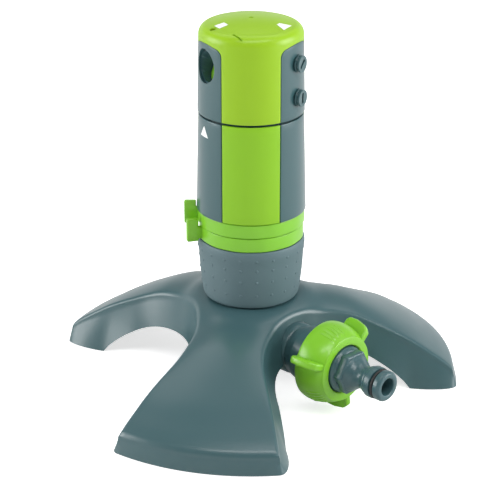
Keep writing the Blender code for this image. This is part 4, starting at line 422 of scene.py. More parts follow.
def pointed_out(item, height, angle=0.0):
    """Lay a piece made along Z out from the turret's axis, at a height and an angle."""
    place = Matrix.Translation((0.0, 0.0, height * MM))
    item.data.transform(place @ Matrix.Rotation(angle, 4, "Z") @ Matrix.Rotation(QUARTER, 4, "Y"))
    return item


def turned(name, profile, facets=96, closed=True, relief=None):
    """Turn a profile of (radius, height) points about Z, with a relief on its surface if asked."""
    points = []
    for radius, height in profile:
        for step in range(facets):
            angle = math.tau * step / facets
            raised = relief(radius, angle, height) if relief else 0.0
            points.append(polar(radius + raised, angle, height))
    return tidy(mesh_piece(name, points, grid_faces(len(profile), facets, wrap=True, closed=closed)))


def cone(name, radii, start, end, facets=48):
    """Make a closed cone between two points, with a radius at each."""
    start = Vector(start) * MM
    end = Vector(end) * MM
    axis = end - start
    bm = bmesh.new()
    bmesh.ops.create_cone(bm, cap_ends=True, segments=facets, radius1=radii[0] * MM, radius2=radii[1] * MM,
                          depth=axis.length, matrix=Matrix.Translation((start + end) / 2.0) @ turn_to(axis))
    return from_bmesh(name, bm)


def rod(name, radius, start, end, facets=48):
    """Make a closed cylinder between two points."""
    return cone(name, (radius, radius), start, end, facets)


def block(name, low, high, turn):
    """Make a closed box between two corners, then turn it about Z."""
    low = Vector(low)
    high = Vector(high)
    place = Matrix.Translation((low + high) * 0.5 * MM) @ Matrix.Diagonal((*((high - low) * MM), 1.0))
    bm = bmesh.new()
    bmesh.ops.create_cube(bm, size=1.0, matrix=Matrix.Rotation(turn, 4, "Z") @ place)
    return from_bmesh(name, bm)


def extruded(name, corners, way):
    """Make a solid by drawing a flat outline out along a way."""
    bm = bmesh.new()
    face = bm.faces.new([bm.verts.new(Vector(corner) * MM) for corner in corners])
    grown = bmesh.ops.extrude_face_region(bm, geom=[face])
    moved = [part for part in grown["geom"] if isinstance(part, bmesh.types.BMVert)]
    bmesh.ops.translate(bm, verts=moved, vec=Vector(way) * MM)
    bmesh.ops.recalc_face_normals(bm, faces=bm.faces)
    return from_bmesh(name, bm)


def fin(name, outline, half):
    """Make a flat fin that stands out along X, from its (radius, height) outline."""
    return extruded(name, [(radius, -half, height) for radius, height in outline], (0.0, 2.0 * half, 0.0))


def finished(item, body, material, replaces=(), angle=32.0):
    """Shade a piece, give it its material and set it on its body."""
    if item.modifiers:
        baked(item)
    item.data.materials.clear()
    item.data.materials.append(material)
    item.data.shade_smooth()
    item.data.set_sharp_from_angle(angle=math.radians(angle))
    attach(item, body)
    if replaces:
        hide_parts(*replaces)
    return item


# Node trees


def set_inputs(tree, node, values):
    """Link or fill a node's inputs."""
    for label, value in values.items():
        if isinstance(value, bpy.types.NodeSocket):
            tree.links.new(value, node.inputs[label])
        else:
            node.inputs[label].default_value = value


def add_node(tree, kind, values=None, **settings):
    """Add a node, choose its settings and then link or fill its inputs."""
    node = tree.nodes.new(kind)
    for setting, choice in settings.items():
        setattr(node, setting, choice)
    set_inputs(tree, node, values or {})
    return node


def noise(tree, place, scale, detail, roughness=0.5, distortion=0.0):
    """Add a cloudy noise."""
    values = {"Vector": place, "Scale": scale, "Detail": detail, "Roughness": roughness,
              "Distortion": distortion}
    return add_node(tree, "ShaderNodeTexNoise", values).outputs["Fac"]


def ranged(tree, value, low, high, start=0.0, end=1.0, ease="LINEAR"):
    """Carry a value over from one range to another."""
    values = {"Value": value, "From Min": low, "From Max": high, "To Min": start, "To Max": end}
    return add_node(tree, "ShaderNodeMapRange", values, interpolation_type=ease).outputs["Result"]


def worked_out(tree, operation, *values, clamp=False):
    """Work out one value from others."""
    node = add_node(tree, "ShaderNodeMath", dict(enumerate(values)), operation=operation, use_clamp=clamp)
    return node.outputs["Value"]


def mixed(tree, share, first, second, kind="RGBA"):
    """Mix two colours or two values."""
    values = {"Factor": share, "A": first, "B": second}
    return add_node(tree, "ShaderNodeMix", values, data_type=kind).outputs["Result"]


def new_group(name, kind, inputs, outputs):
    """Start a node group with named sockets."""
    group = bpy.data.node_groups.new(name, kind)
    for label, socket_kind, value in inputs:
        socket = group.interface.new_socket(name=label, in_out="INPUT", socket_type=socket_kind)
        if value is not None:
            socket.default_value = value
    for label, socket_kind in outputs:
        group.interface.new_socket(name=label, in_out="OUTPUT", socket_type=socket_kind)
    return group, group.nodes.new("NodeGroupInput").outputs


def new_material(name):
    """Start a material, and give it with its node tree and its shader."""
    material = bpy.data.materials.new(name)
    material.use_nodes = True
    return material, material.node_tree, material.node_tree.nodes["Principled BSDF"]


# Materials


def moulded_skin_group():
    """Make the skin of injection-moulded plastic: a fine spark grain, soft mottle and light scuffs."""
    group, given = new_group(
        "moulded_skin", "ShaderNodeTree",
        [("Colour", "NodeSocketColor", (0.5, 0.5, 0.5, 1.0)),
         ("Shade Colour", "NodeSocketColor", (0.4, 0.4, 0.4, 1.0)),
         ("Mottle", "NodeSocketFloat", 0.35),
         ("Grain Size", "NodeSocketFloat", 1800.0),
         ("Grain Depth", "NodeSocketFloat", 0.12),
         ("Roughness", "NodeSocketFloat", 0.4),
         ("Roughness Spread", "NodeSocketFloat", 0.08),
         ("Scuffs", "NodeSocketFloat", 0.08)],
        [("Colour", "NodeSocketColor"), ("Roughness", "NodeSocketFloat"), ("Normal", "NodeSocketVector")])
    place = add_node(group, "ShaderNodeTexCoord").outputs["Object"]
    cloud = noise(group, place, 38.0, 4.0)
    mottle = worked_out(group, "MULTIPLY", ranged(group, cloud, 0.35, 0.65), given["Mottle"])
    tone = mixed(group, mottle, given["Colour"], given["Shade Colour"])
    scratch = ranged(group, noise(group, place, 140.0, 6.0, 0.72, 1.5), 0.62, 0.72)
    scuffs = worked_out(group, "MULTIPLY", scratch, given["Scuffs"])
    varied = worked_out(group, "MULTIPLY_ADD", cloud, given["Roughness Spread"], given["Roughness"])
    rough = worked_out(group, "ADD", varied, scuffs, clamp=True)
    grain = noise(group, place, given["Grain Size"], 3.0)
    bump = add_node(group, "ShaderNodeBump",
                    {"Distance": 0.02 * MM, "Strength": given["Grain Depth"], "Height": grain})
    add_node(group, "NodeGroupOutput", {"Colour": tone, "Roughness": rough, "Normal": bump.outputs["Normal"]})
    return group


def ground_dust_group():
    """Make the mask of pale dust that gathers near the ground."""
    group, given = new_group(
        "ground_dust", "ShaderNodeTree",
        [("Height", "NodeSocketFloat", 0.02), ("Amount", "NodeSocketFloat", 0.3)],
        [("Mask", "NodeSocketFloat")])
    place = add_node(group, "ShaderNodeTexCoord").outputs["Object"]
    height = add_node(group, "ShaderNodeSeparateXYZ", {"Vector": place}).outputs["Z"]
    fall = ranged(group, height, 0.0, given["Height"], 1.0, 0.0)
    specks = worked_out(group, "MULTIPLY", fall, noise(group, place, 220.0, 5.0))
    mask = worked_out(group, "MULTIPLY", specks, given["Amount"], clamp=True)
    add_node(group, "NodeGroupOutput", {"Mask": mask})
    return group


MOULDED_SKIN = moulded_skin_group()
GROUND_DUST = ground_dust_group()
DUST_COLOUR = (0.33, 0.33, 0.3, 1.0)


def moulded_plastic(name, colour, shade, roughness, mottle=0.35, grain=1800.0, depth=0.12, coat=0.0, dust=0.0,
                    level=0.5):
    """Make one moulded plastic from the shared skin, with dust low down if asked."""
    material, tree, shader = new_material(name)
    skin = add_node(tree, "ShaderNodeGroup",
                    {"Colour": (*colour, 1.0), "Shade Colour": (*shade, 1.0), "Mottle": mottle,
                     "Grain Size": grain, "Grain Depth": depth, "Roughness": roughness},
                    node_tree=MOULDED_SKIN).outputs
    tone = skin["Colour"]
    if dust > 0.0:
        mask = add_node(tree, "ShaderNodeGroup", {"Amount": dust}, node_tree=GROUND_DUST)
        tone = mixed(tree, mask.outputs["Mask"], tone, DUST_COLOUR)
    set_inputs(tree, shader, {"Base Color": tone, "Roughness": skin["Roughness"], "Normal": skin["Normal"],
                              "Specular IOR Level": level, "Coat Weight": coat, "Coat Roughness": 0.18})
    return material


def turned_steel(name):
    """Make turned stainless steel with fine tool marks."""
    material, tree, shader = new_material(name)
    place = add_node(tree, "ShaderNodeTexCoord").outputs["Object"]
    marks = noise(tree, place, 900.0, 4.0)
    tone = mixed(tree, marks, (0.58, 0.58, 0.57, 1.0), (0.44, 0.44, 0.45, 1.0))
    rough = ranged(tree, marks, 0.0, 1.0, 0.22, 0.42)
    set_inputs(tree, shader, {"Metallic": 1.0, "Base Color": tone, "Roughness": rough})
    return material


SLATE = moulded_plastic("slate_plastic", (0.045, 0.104, 0.116), (0.039, 0.094, 0.106), 0.3,
                        coat=0.15, dust=0.05)
PANEL = moulded_plastic("panel_plastic", (0.037, 0.099, 0.109), (0.033, 0.09, 0.1), 0.25, coat=0.35)
GRIP = moulded_plastic("grip_plastic", (0.092, 0.152, 0.168), (0.084, 0.14, 0.156), 0.55,
                       grain=2600.0, depth=0.3)
LIME = moulded_plastic("lime_plastic", (0.286, 0.508, 0.007), (0.273, 0.494, 0.007), 0.32,
                       mottle=0.3, level=0.45)
LIME_STRIPE = moulded_plastic("stripe_plastic", (0.233, 0.5, 0.008), (0.222, 0.486, 0.008), 0.32,
                              mottle=0.3, level=0.45)
LIME_RING = moulded_plastic("ring_plastic", (0.198, 0.51, 0.019), (0.186, 0.496, 0.019), 0.3,
                            coat=0.12, mottle=0.3)
ACETAL = moulded_plastic("gear_plastic", (0.76, 0.75, 0.69), (0.72, 0.7, 0.63), 0.34, mottle=0.4)
RUBBER = moulded_plastic("seal_rubber", (0.014, 0.014, 0.015), (0.02, 0.02, 0.02), 0.5, depth=0.2)
WHITE_PRINT = moulded_plastic("white_print", (0.86, 0.88, 0.88), (0.82, 0.84, 0.84), 0.45, depth=0.05)
STEEL = turned_steel("stainless_steel")
SLOT_MATERIALS = {"slate_plastic": SLATE, "panel_plastic": PANEL, "grip_plastic": GRIP, "lime_plastic": LIME,
                  "gear_plastic": ACETAL, "seal_rubber": RUBBER, "stainless_steel": STEEL}


def dress_cad_nodes():
    """Give the solids that stay in view their finished materials."""
    for entry in frame["record"]["subparts"]:
        item = frame["nodes"][entry["node"]]
        item.data.materials.clear()
        item.data.materials.append(SLOT_MATERIALS[entry["material_slot"]])


# Base


def nearest(angle, headings):
    """Give the heading that lies nearest to an angle."""
    return min(headings, key=lambda heading: abs(math.remainder(angle - heading, math.tau)))


def turn_past(heading, point):
    """Give the angle from a heading round to a point."""
    return math.remainder(math.atan2(point[1], point[0]) - heading, math.tau)


def bay_distance(along, across):
    """Give the distance from a point, in a bay's frame, out to the bay's edge."""
    offset = Vector((along - BAY_CENTRE, across))
    angle = math.atan2(abs(offset.y), -offset.x)
    if angle <= BAY_SPREAD:
        return offset.length - BAY_RADIUS
    start = Vector((BAY_CENTRE - BAY_RADIUS * math.cos(BAY_SPREAD), BAY_RADIUS * math.sin(BAY_SPREAD)))
    normal = Vector((-math.cos(BAY_SPREAD), math.sin(BAY_SPREAD)))
    return (Vector((along, abs(across))) - start).dot(normal)


def base_height(x, y):
    """Give the height of the base's top at a point: a crest along each leg, lower towards the bays."""
    radius = math.hypot(x, y)
    angle = math.atan2(y, x)
    leg = nearest(angle, LEG_ANGLES)
    turn = math.remainder(angle - leg, math.tau)
    bay = leg + math.copysign(SIXTH, turn)
    reach = max(0.0, bay_distance(radius * math.cos(angle - bay), radius * math.sin(angle - bay)))
    beside = abs(radius * math.sin(turn))
    near_hub = 0.5 - 0.5 * math.cos(min(1.0, abs(turn) / SIXTH) * math.pi)
    on_leg = (beside / max(0.001, beside + reach)) ** VALLEY_POWER
    shape = between(near_hub, on_leg, smooth_step(radius, *HUB_BLEND))
    return smooth_curve(radius, CREST) - max(0.0, smooth_curve(radius, VALLEY_DROP)) * shape


def bay_side(inset, rim, lean):
    """Give the points along one side of a bay, from its vertex to the rim, in the bay's frame.

    The lean moves them into the bay, as far as the wall's foot stands out from its crease.
    """
    points = []
    reach = BAY_RADIUS + inset
    for step in range(ARC_STEPS + 1):
        share = step / ARC_STEPS
        angle = BAY_SPREAD * share
        leant = reach - lean * (FLARE_AT_VERTEX + FLARE_ROUND_ARC * share ** 2)
        points.append((BAY_CENTRE - leant * math.cos(angle), leant * math.sin(angle)))
    start = Vector((BAY_CENTRE - reach * math.cos(BAY_SPREAD), reach * math.sin(BAY_SPREAD)))
    way = Vector((math.sin(BAY_SPREAD), math.cos(BAY_SPREAD)))
    inward = Vector((math.cos(BAY_SPREAD), -math.sin(BAY_SPREAD)))
    half = start.dot(way)
    length = -half + math.sqrt(half * half - start.length_squared + rim * rim)
    for step in range(1, LINE_STEPS + 1):
        past = 1.0 - (1.0 - step / LINE_STEPS) ** LINE_EASE
        fading = max(0.0, (past - FLARE_HELD) / (1.0 - FLARE_HELD))
        flare = min(1.0, FLARE_AT_VERTEX + FLARE_ROUND_ARC + FLARE_ALONG_LINE * past)
        offset = lean * flare * math.sqrt(max(0.0, 1.0 - fading * fading))
        points.append(tuple(start + way * (length * past) + inward * offset))
    return points


def in_base(points, bay, side):
    """Set points of a bay's frame in the base's frame, mirrored where the side is -1."""
    return [(x * math.cos(bay) - side * y * math.sin(bay), x * math.sin(bay) + side * y * math.cos(bay))
            for x, y in points]


def leg_row(leg, start, end, reach):
    """Give a row of points across a leg, between two angles from its centre line."""
    return [polar(reach, leg + turn)[:2] for turn in spaced(start, end, RIM_STEPS + 1)]


def base_loop(inset, rim, lean=0.0):
    """Give the base's outline: for each leg up one bay side, round the rim and back down the other side."""
    loop = []
    side = bay_side(inset, rim, lean)
    for leg in LEG_ANGLES:
        up = in_base(side, leg - SIXTH, 1.0)
        down = in_base(side, leg + SIXTH, -1.0)
        round_rim = leg_row(leg, turn_past(leg, up[-1]), turn_past(leg, down[-1]), rim)
        loop += up + round_rim[1:-1] + down[:0:-1]
    return loop


def foot_height(index, point):
    """Give the height of the wall's lower edge: on the ground at the rims and arched over each bay."""
    if SIDE_STEPS <= index % LEG_STEPS <= SIDE_STEPS + RIM_STEPS:
        return 0.0
    bay = nearest(math.atan2(point[1], point[0]), BAY_ANGLES)
    along = math.hypot(*point) * math.cos(turn_past(bay, point))
    share = min(1.0, max(0.0, (along - BAY_VERTEX) / ARCH_REACH))
    return ARCH_HEIGHT * (1.0 - share * share) ** ARCH_POWER


def edge_loops(inset, fillet):
    """Give the loops over one skin's rounded edge, from the top surface to the head of the wall."""
    loops = []
    for step in range(EDGE_STEPS + 1):
        turn = QUARTER * step / EDGE_STEPS
        back = inset + fillet * (1.0 - math.sin(turn))
        drop = inset + fillet * (1.0 - math.cos(turn))
        loops.append([(x, y, base_height(x, y) - drop) for x, y in base_loop(back, RIM_TOP - back)])
    return loops


def wall_loops(top, inset):
    """Give the loops of one skin's wall, from under its rounded edge down to its foot."""
    outline = base_loop(inset, RIM_FOOT - inset, BAY_FLARE)
    foot = [(*point, foot_height(index, point)) for index, point in enumerate(outline)]
    loops = []
    for step in range(1, WALL_STEPS + 1):
        share = step / WALL_STEPS
        loops.append([tuple(between(a, b, share) for a, b in zip(high, low)) for high, low in zip(top, foot)])
    return loops


def leg_rows(number, edge, hub):
    """Give the rows of one leg's top, from the hub's hole out to the last row inside the rim."""
    leg = LEG_ANGLES[number]
    rows = [leg_row(leg, -SIXTH, SIXTH, reach) for reach in spaced(HUB_HOLE, hub, HUB_STEPS + 1)[:-1]]
    for step in range(SIDE_STEPS):
        left = edge[number * LEG_STEPS + step]
        right = edge[((number + 1) * LEG_STEPS - step) % len(edge)]
        rows.append(leg_row(leg, turn_past(leg, left), turn_past(leg, right), math.hypot(left[0], left[1])))
    return rows


def base_skin(inset, fillet):
    """Give one skin of the base: its points, its faces and the numbers of the points round its foot."""
    loops = edge_loops(inset, fillet)
    loops += wall_loops(loops[-1], inset)
    count = len(loops[0])
    points = [point for loop in loops for point in loop]
    faces = grid_faces(len(loops), count, wrap=True)
    foot = list(range(len(points) - count, len(points)))
    for number in range(len(LEG_ANGLES)):
        start = len(points)
        rows = leg_rows(number, loops[0], BAY_VERTEX - inset - fillet)
        points += [(x, y, base_height(x, y) - inset) for row in rows for x, y in row]
        faces += grid_faces(len(rows), RIM_STEPS + 1, start)
        faces += strip_faces(len(points) - RIM_STEPS - 1, number * LEG_STEPS + SIDE_STEPS, RIM_STEPS)
    return points, faces, foot


def make_base():
    """Make the three-legged base as one smooth hollow moulding."""
    points, faces, foot = base_skin(0.0, EDGE_ROUND)
    inner_points, inner_faces, inner_foot = base_skin(BASE_WALL, INNER_ROUND)
    shift = len(points)
    points += inner_points
    faces += [tuple(shift + corner for corner in reversed(face)) for face in inner_faces]
    inner_foot = [shift + corner for corner in inner_foot]
    for index in range(len(foot)):
        faces.append((foot[index - 1], foot[index], inner_foot[index], inner_foot[index - 1]))
    base = mesh_piece("base_moulding", points, faces)
    bm = bmesh.new()
    bm.from_mesh(base.data)
    bmesh.ops.remove_doubles(bm, verts=bm.verts, dist=0.01 * MM)
    bmesh.ops.bridge_loops(bm, edges=[edge for edge in bm.edges if edge.is_boundary])
    bmesh.ops.recalc_face_normals(bm, faces=bm.faces)
    bm.to_mesh(base.data)
    bm.free()
    cut(base, rod("pipe_hole", SLEEVE_HOLE, (8.0, 0.0, INLET_HEIGHT), (47.0, 0.0, INLET_HEIGHT), 64))
    finished(base, "base", SLATE, ["base_shell"], angle=40.0)


# Barrel


def body_radius(height):
    """Give the body's outer radius at a height."""
    return between(*BODY_RADII, (height - BODY_BOTTOM) / (BODY_TOP - BODY_BOTTOM))


def head_radius(height):
    """Give the head's outer radius at a height below its crown."""
    return between(*HEAD_RADII, min(1.0, (height - HEAD_BOTTOM) / (HEAD_TOP - HEAD_BOTTOM - CROWN_RADIUS)))


def stripe_half(radius):
    """Give the half angle of a green stripe or finger at a radius."""
    return math.asin((STRIPE_HALF - SEAM) / radius)


def panel_half(radius):
    """Give the half angle of a grey panel at a radius."""
    return SIXTH - math.asin((STRIPE_HALF + SEAM) / radius)


def panel_reach(height):
    """Give half the width of a head panel at a height."""
    radius = head_radius(height)
    return radius * math.sin(panel_half(radius))


def body_patch(name, centre, low, high, half_at, rows=14, columns=28):
    """Make a curved sheet of the body between two heights, whose side edges follow a half angle."""
    points = []
    for height in spaced(low, high, rows + 1):
        radius = body_radius(height)
        half = half_at(radius)
        points += [polar(radius, centre + turn, height) for turn in spaced(-half, half, columns + 1)]
    return mesh_piece(name, points, grid_faces(rows + 1, columns + 1))


def make_body():
    """Make the body's grey panels over their core, and the green stripes."""
    panels = []
    for centre in PANEL_ANGLES:
        sheet = body_patch("body_panel", centre, BODY_BOTTOM, BODY_TOP, panel_half)
        panels.append(rounded(thickened(sheet, PANEL_WALL), 0.35, 3))
    top = BODY_TOP - 0.5
    foot = BODY_BOTTOM + CORE_STEP
    rim = BODY_TOP + SEAM_RIM_HEIGHT
    core = turned("body_core", [(body_radius(BODY_TOP) - CORE_INSET, top),
                                (body_radius(BODY_BOTTOM) - CORE_INSET, foot),
                                (BODY_BORE, foot), (BODY_BORE, rim), (SEAM_RIM, rim), (SEAM_RIM, top)])
    finished(merged("body_panels", panels + [core]), "turret", PANEL, ["body_shell"])
    for number, centre in enumerate(STRIPE_ANGLES, start=1):
        stripe = body_patch("stripe_%d" % number, centre, BODY_BOTTOM + 0.1, BODY_TOP - 0.1, stripe_half)
        rounded(thickened(stripe, STRIPE_WALL), 0.3, 3)
        finished(stripe, "turret", LIME_STRIPE, ["body_stripe_%d" % number])


def panel_outline():
    """Give the top of a head panel as (side, height) points: up a rounded corner, over the arch and down."""
    flat = panel_reach(PANEL_SIDE_TOP) - PANEL_CORNER
    right = arc((flat, PANEL_TOP - PANEL_CORNER), PANEL_CORNER, 0.0, QUARTER, OUTLINE_STEPS)
    right += [(side, PANEL_TOP) for side in spaced(flat, 0.0, OUTLINE_STEPS + 1)[1:-1]]
    right = [(side, height - PANEL_ARCH * side ** 2) for side, height in right]
    return [(-side, height) for side, height in right] + [(0.0, PANEL_TOP)] + right[::-1]


def cap_height(radius):
    """Give the cap's height at a radius."""
    if radius <= CROWN_FLAT:
        return HEAD_TOP - CROWN_RISE * (radius / CROWN_FLAT) ** 2
    return CROWN_BASE + math.sqrt(max(0.0, CROWN_RADIUS ** 2 - (radius - CROWN_FLAT) ** 2))


def cap_edge():
    """Give the cap's lower edge as (angle, height) points: level over each finger, arched over each panel."""
    outline = panel_outline()
    level = outline[0][1] + SEAM
    arch = outline[1:-1]
    grow = 1.0 + 2.0 * SEAM / arch[-1][0]
    half = stripe_half(head_radius(level))
    points = []
    for stripe, panel in zip(STRIPE_ANGLES, PANEL_ANGLES):
        points += [(stripe + turn, level) for turn in spaced(-half, half, FINGER_COLUMNS + 1)]
        for side, height in arch:
            points.append((panel + math.asin(side * grow / head_radius(height)), height + SEAM))
    return points


def cap_skin(band_rows=8, finger_rows=16):
    """Give the points and faces of the cap's outside: the band, the crown over it and the three fingers."""
    edge = cap_edge()
    columns = len(edge)
    points = []
    for row in range(band_rows + 1):
        for angle, height in edge:
            level = between(height, CROWN_BASE, row / band_rows)
            points.append(polar(head_radius(level), angle, level))
    crown = arc((CROWN_FLAT, CROWN_BASE), CROWN_RADIUS, 0.0, QUARTER, 12)[1:]
    crown += [(CROWN_FLAT * share, cap_height(CROWN_FLAT * share)) for share in CROWN_SHARES]
    for radius, height in crown:
        points += [polar(radius, angle, height) for angle, unused in edge]
    faces = grid_faces(band_rows + 1 + len(crown), columns, wrap=True)
    centre = len(points)
    points.append((0.0, 0.0, HEAD_TOP))
    last = centre - columns
    faces += [(last + column, last + (column + 1) % columns, centre) for column in range(columns)]
    for number, stripe in enumerate(STRIPE_ANGLES):
        above = number * columns // len(STRIPE_ANGLES)
        for height in spaced(edge[0][1], HEAD_BOTTOM, finger_rows + 1)[1:]:
            radius = head_radius(height)
            turns = spaced(-stripe_half(radius), stripe_half(radius), FINGER_COLUMNS + 1)
            faces += strip_faces(len(points), above, FINGER_COLUMNS)
            above = len(points)
            points += [polar(radius, stripe + turn, height) for turn in turns]
    return points, faces


def make_cap():
    """Make the green cap: a domed crown with three fingers that run down between the panels."""
    cap = tidy(mesh_piece("cap_moulding", *cap_skin()), 0.02)
    baked(rounded(thickened(cap, STRIPE_WALL), 0.3, 3, 40.0))
    adjuster = [polar(*ADJUSTER_PLACE, height) for height in ADJUSTER_SPAN]
    cut(cap, rod("adjuster_hole", ADJUSTER_RADIUS, *adjuster, 32))
    groove = [polar(radius, angle, cap_height(radius) + lift) for radius, angle, lift in GROOVE_ENDS]
    cut(cap, rod("mark_groove", GROOVE_RADIUS, *groove, 16))
    dimple = [(0.0, 0.0, HEAD_TOP - DIMPLE_DEPTH), (0.0, 0.0, HEAD_TOP + 1.0)]
    cut(cap, rod("gate_dimple", DIMPLE_RADIUS, *dimple, 32))
    finished(cap, "head", LIME, ["head_cap"], angle=38.0)


def print_mark(name, body, rows, depth):
    """Print one white mark from its rows of points, as a thin layer."""
    points = [point for row in rows for point in row]
    mark = thickened(mesh_piece(name, points, grid_faces(len(rows), len(rows[0]))), depth)
    finished(mark, body, WHITE_PRINT)


def cap_mark(name, centre, inner, outer, inner_half, outer_half):
    """Print one white mark on the cap, pointing out to a panel."""
    rows = []
    for share in spaced(0.0, 1.0, 9):
        radius = between(inner, outer, share)
        half = between(inner_half, outer_half, share)
        row = []
        for side in spaced(-half, half, 7):
            reach = math.hypot(radius, side)
            row.append(polar(reach, centre + math.atan2(side, radius), cap_height(reach) + MARK_LIFT))
        rows.append(row)
    print_mark(name, "head", rows, 0.12)


def body_mark():
    """Print the white pointer near the body's upper edge, below the main jet."""
    centre = JET_ANGLE - math.radians(0.6)
    rows = []
    for share in spaced(1.0, 0.0, 11):
        height = POINTER_TOP - POINTER_LENGTH * share
        radius = body_radius(height) + POINTER_LIFT
        half = between(*POINTER_HALVES, share)
        rows.append([polar(radius, centre + turn, height) for turn in spaced(-half, half, 7)])
    print_mark("pointer_mark", "turret", rows, 0.1)


# Head


def jet_point(station):
    """Give a point on the main jet's axis, from the head's surface."""
    reach = head_radius(JET_HEIGHT) + station * math.cos(JET_TILT)
    return polar(reach, JET_ANGLE, JET_HEIGHT + station * math.sin(JET_TILT))


def cut_jet_hole(item):
    """Cut the main jet's hole."""
    cut(item, rod("jet_hole", JET_HOLE, jet_point(-14.0), jet_point(8.0), 72))


def cut_fan_holes(item):
    """Cut the two fan nozzles' holes."""
    for height in FAN_HEIGHTS:
        inside = polar(15.0, FAN_ANGLE, height)
        outside = polar(35.0, FAN_ANGLE, height)
        cut(item, rod("fan_hole", FAN_HOLE, inside, outside, 40))


def head_panel(centre, outline, rows=20):
    """Make one grey panel of the head, from its arched top down to the head's lower edge."""
    points = []
    for share in spaced(0.0, 1.0, rows + 1):
        for side, height in outline:
            level = between(height, HEAD_BOTTOM, share)
            radius = head_radius(level)
            lateral = side / outline[-1][0] * panel_reach(level)
            points.append(polar(radius, centre + math.asin(lateral / radius), level))
    sheet = tidy(mesh_piece("head_panel", points, grid_faces(rows + 1, len(outline))), 0.02)
    return baked(thickened(sheet, PANEL_WALL))


def make_head_panels():
    """Make the three grey panels of the head over their core, with the outlets' holes."""
    panels = [head_panel(centre, panel_outline()) for centre in PANEL_ANGLES]
    cut_jet_hole(panels[JET_PANEL])
    cut_fan_holes(panels[FAN_PANEL])
    for panel in panels:
        rounded(panel, 0.3, 3)
    top = PANEL_TOP - 1.0
    foot = HEAD_BOTTOM + CORE_STEP
    core = turned("head_core", [(head_radius(PANEL_TOP) - CORE_INSET, top),
                                (head_radius(HEAD_BOTTOM) - CORE_INSET, foot),
                                (HEAD_BORE, foot), (HEAD_BORE, top)])
    cut_jet_hole(core)
    cut_fan_holes(core)
    finished(merged("head_panels", panels + [core]), "head", PANEL, ["head_shell"])


def make_jet_tube():
    """Copy the head's water ways and open the jet tube's mouth to a thin edge."""
    ways = frame["nodes"]["head_manifold"].copy()
    ways.data = ways.data.copy()
    ways.name = "water_ways"
    bpy.context.scene.collection.objects.link(ways)
    tidy(ways)
    cut(ways, cone("mouth_cone", JET_MOUTH, jet_point(-7.0), jet_point(2.0), 72))
    finished(ways, "head", SLATE, ["head_manifold"])


def make_jet_nozzle():
    """Make the green nozzle at the bottom of the jet's tube."""
    nozzle = turned("jet_insert", filleted(JET_INSERT, 0.3), 64)
    start = Vector(jet_point(0.0))
    nozzle.data.transform(Matrix.Translation(start * MM) @ turn_to(Vector(jet_point(1.0)) - start))
    finished(nozzle, "head", LIME_RING, ["jet_nozzle"])


def fan_profile(wall):
    """Give a fan nozzle's profile: a flat face with a rim, a neck, a flange outside the wall and a tail."""
    face = wall + FAN_STAND
    return [(0.0, face - 0.25), (1.2, face - 0.2), (3.6, face), (4.2, face), (4.2, face - 1.0),
            (3.5, face - 1.2), (3.5, wall + 1.15), (4.4, wall + 1.05), (4.4, wall + 0.35), (3.0, wall + 0.35),
            (3.0, FAN_TAIL), (0.0, FAN_TAIL)]


def make_fan_nozzles():
    """Make the two slotted fan nozzles."""
    for name, height, slot_turn in zip(("upper", "lower"), FAN_HEIGHTS, FAN_SLOT_TURNS):
        wall = head_radius(height)
        face = wall + FAN_STAND
        nozzle = turned("fan_" + name, filleted(fan_profile(wall), 0.2), 64, closed=False)
        slot = block("slot", (-FAN_SLOT[0], -FAN_SLOT[1], face - 2.4), (*FAN_SLOT, face + 1.0), slot_turn)
        cut(nozzle, slot)
        cut(nozzle, rod("bore", FAN_BORE, (0.0, 0.0, 14.0), (0.0, 0.0, face - 1.2), 32))
        pointed_out(nozzle, height, FAN_ANGLE)
        finished(nozzle, name + "_fan", PANEL, ["fan_nozzle_" + name])


# Collar and arc rings


def collar_pips_tree():
    """Make the node tree that sets a flattened dome on each point it is given."""
    tree, given = new_group(
        "collar_pips", "GeometryNodeTree",
        [("Geometry", "NodeSocketGeometry", None),
         ("Pip Radius", "NodeSocketFloat", PIP_RADIUS * MM),
         ("Pip Height", "NodeSocketFloat", PIP_FLATNESS),
         ("Skin", "NodeSocketMaterial", None)],
        [("Geometry", "NodeSocketGeometry")])
    dome = add_node(tree, "GeometryNodeMeshIcoSphere", {"Subdivisions": 3, "Radius": given["Pip Radius"]})
    squash = add_node(tree, "ShaderNodeCombineXYZ", {"X": 1.0, "Y": 1.0, "Z": given["Pip Height"]})
    normal = add_node(tree, "GeometryNodeInputNormal").outputs["Normal"]
    aim = add_node(tree, "FunctionNodeAlignRotationToVector", {"Vector": normal}, axis="Z")
    spread = add_node(tree, "GeometryNodeInstanceOnPoints",
                      {"Points": given["Geometry"], "Instance": dome.outputs["Mesh"],
                       "Rotation": aim.outputs["Rotation"], "Scale": squash.outputs["Vector"]})
    real = add_node(tree, "GeometryNodeRealizeInstances", {"Geometry": spread.outputs["Instances"]})
    paint = add_node(tree, "GeometryNodeSetMaterial",
                     {"Geometry": real.outputs["Geometry"], "Material": given["Skin"]})
    add_node(tree, "NodeGroupOutput", {"Geometry": paint.outputs["Geometry"]})
    return tree


def socket_id(tree, label):
    """Give the identifier of a tree's input by its name."""
    return next(item.identifier for item in tree.interface.items_tree
                if item.item_type == "SOCKET" and item.in_out == "INPUT" and item.name == label)


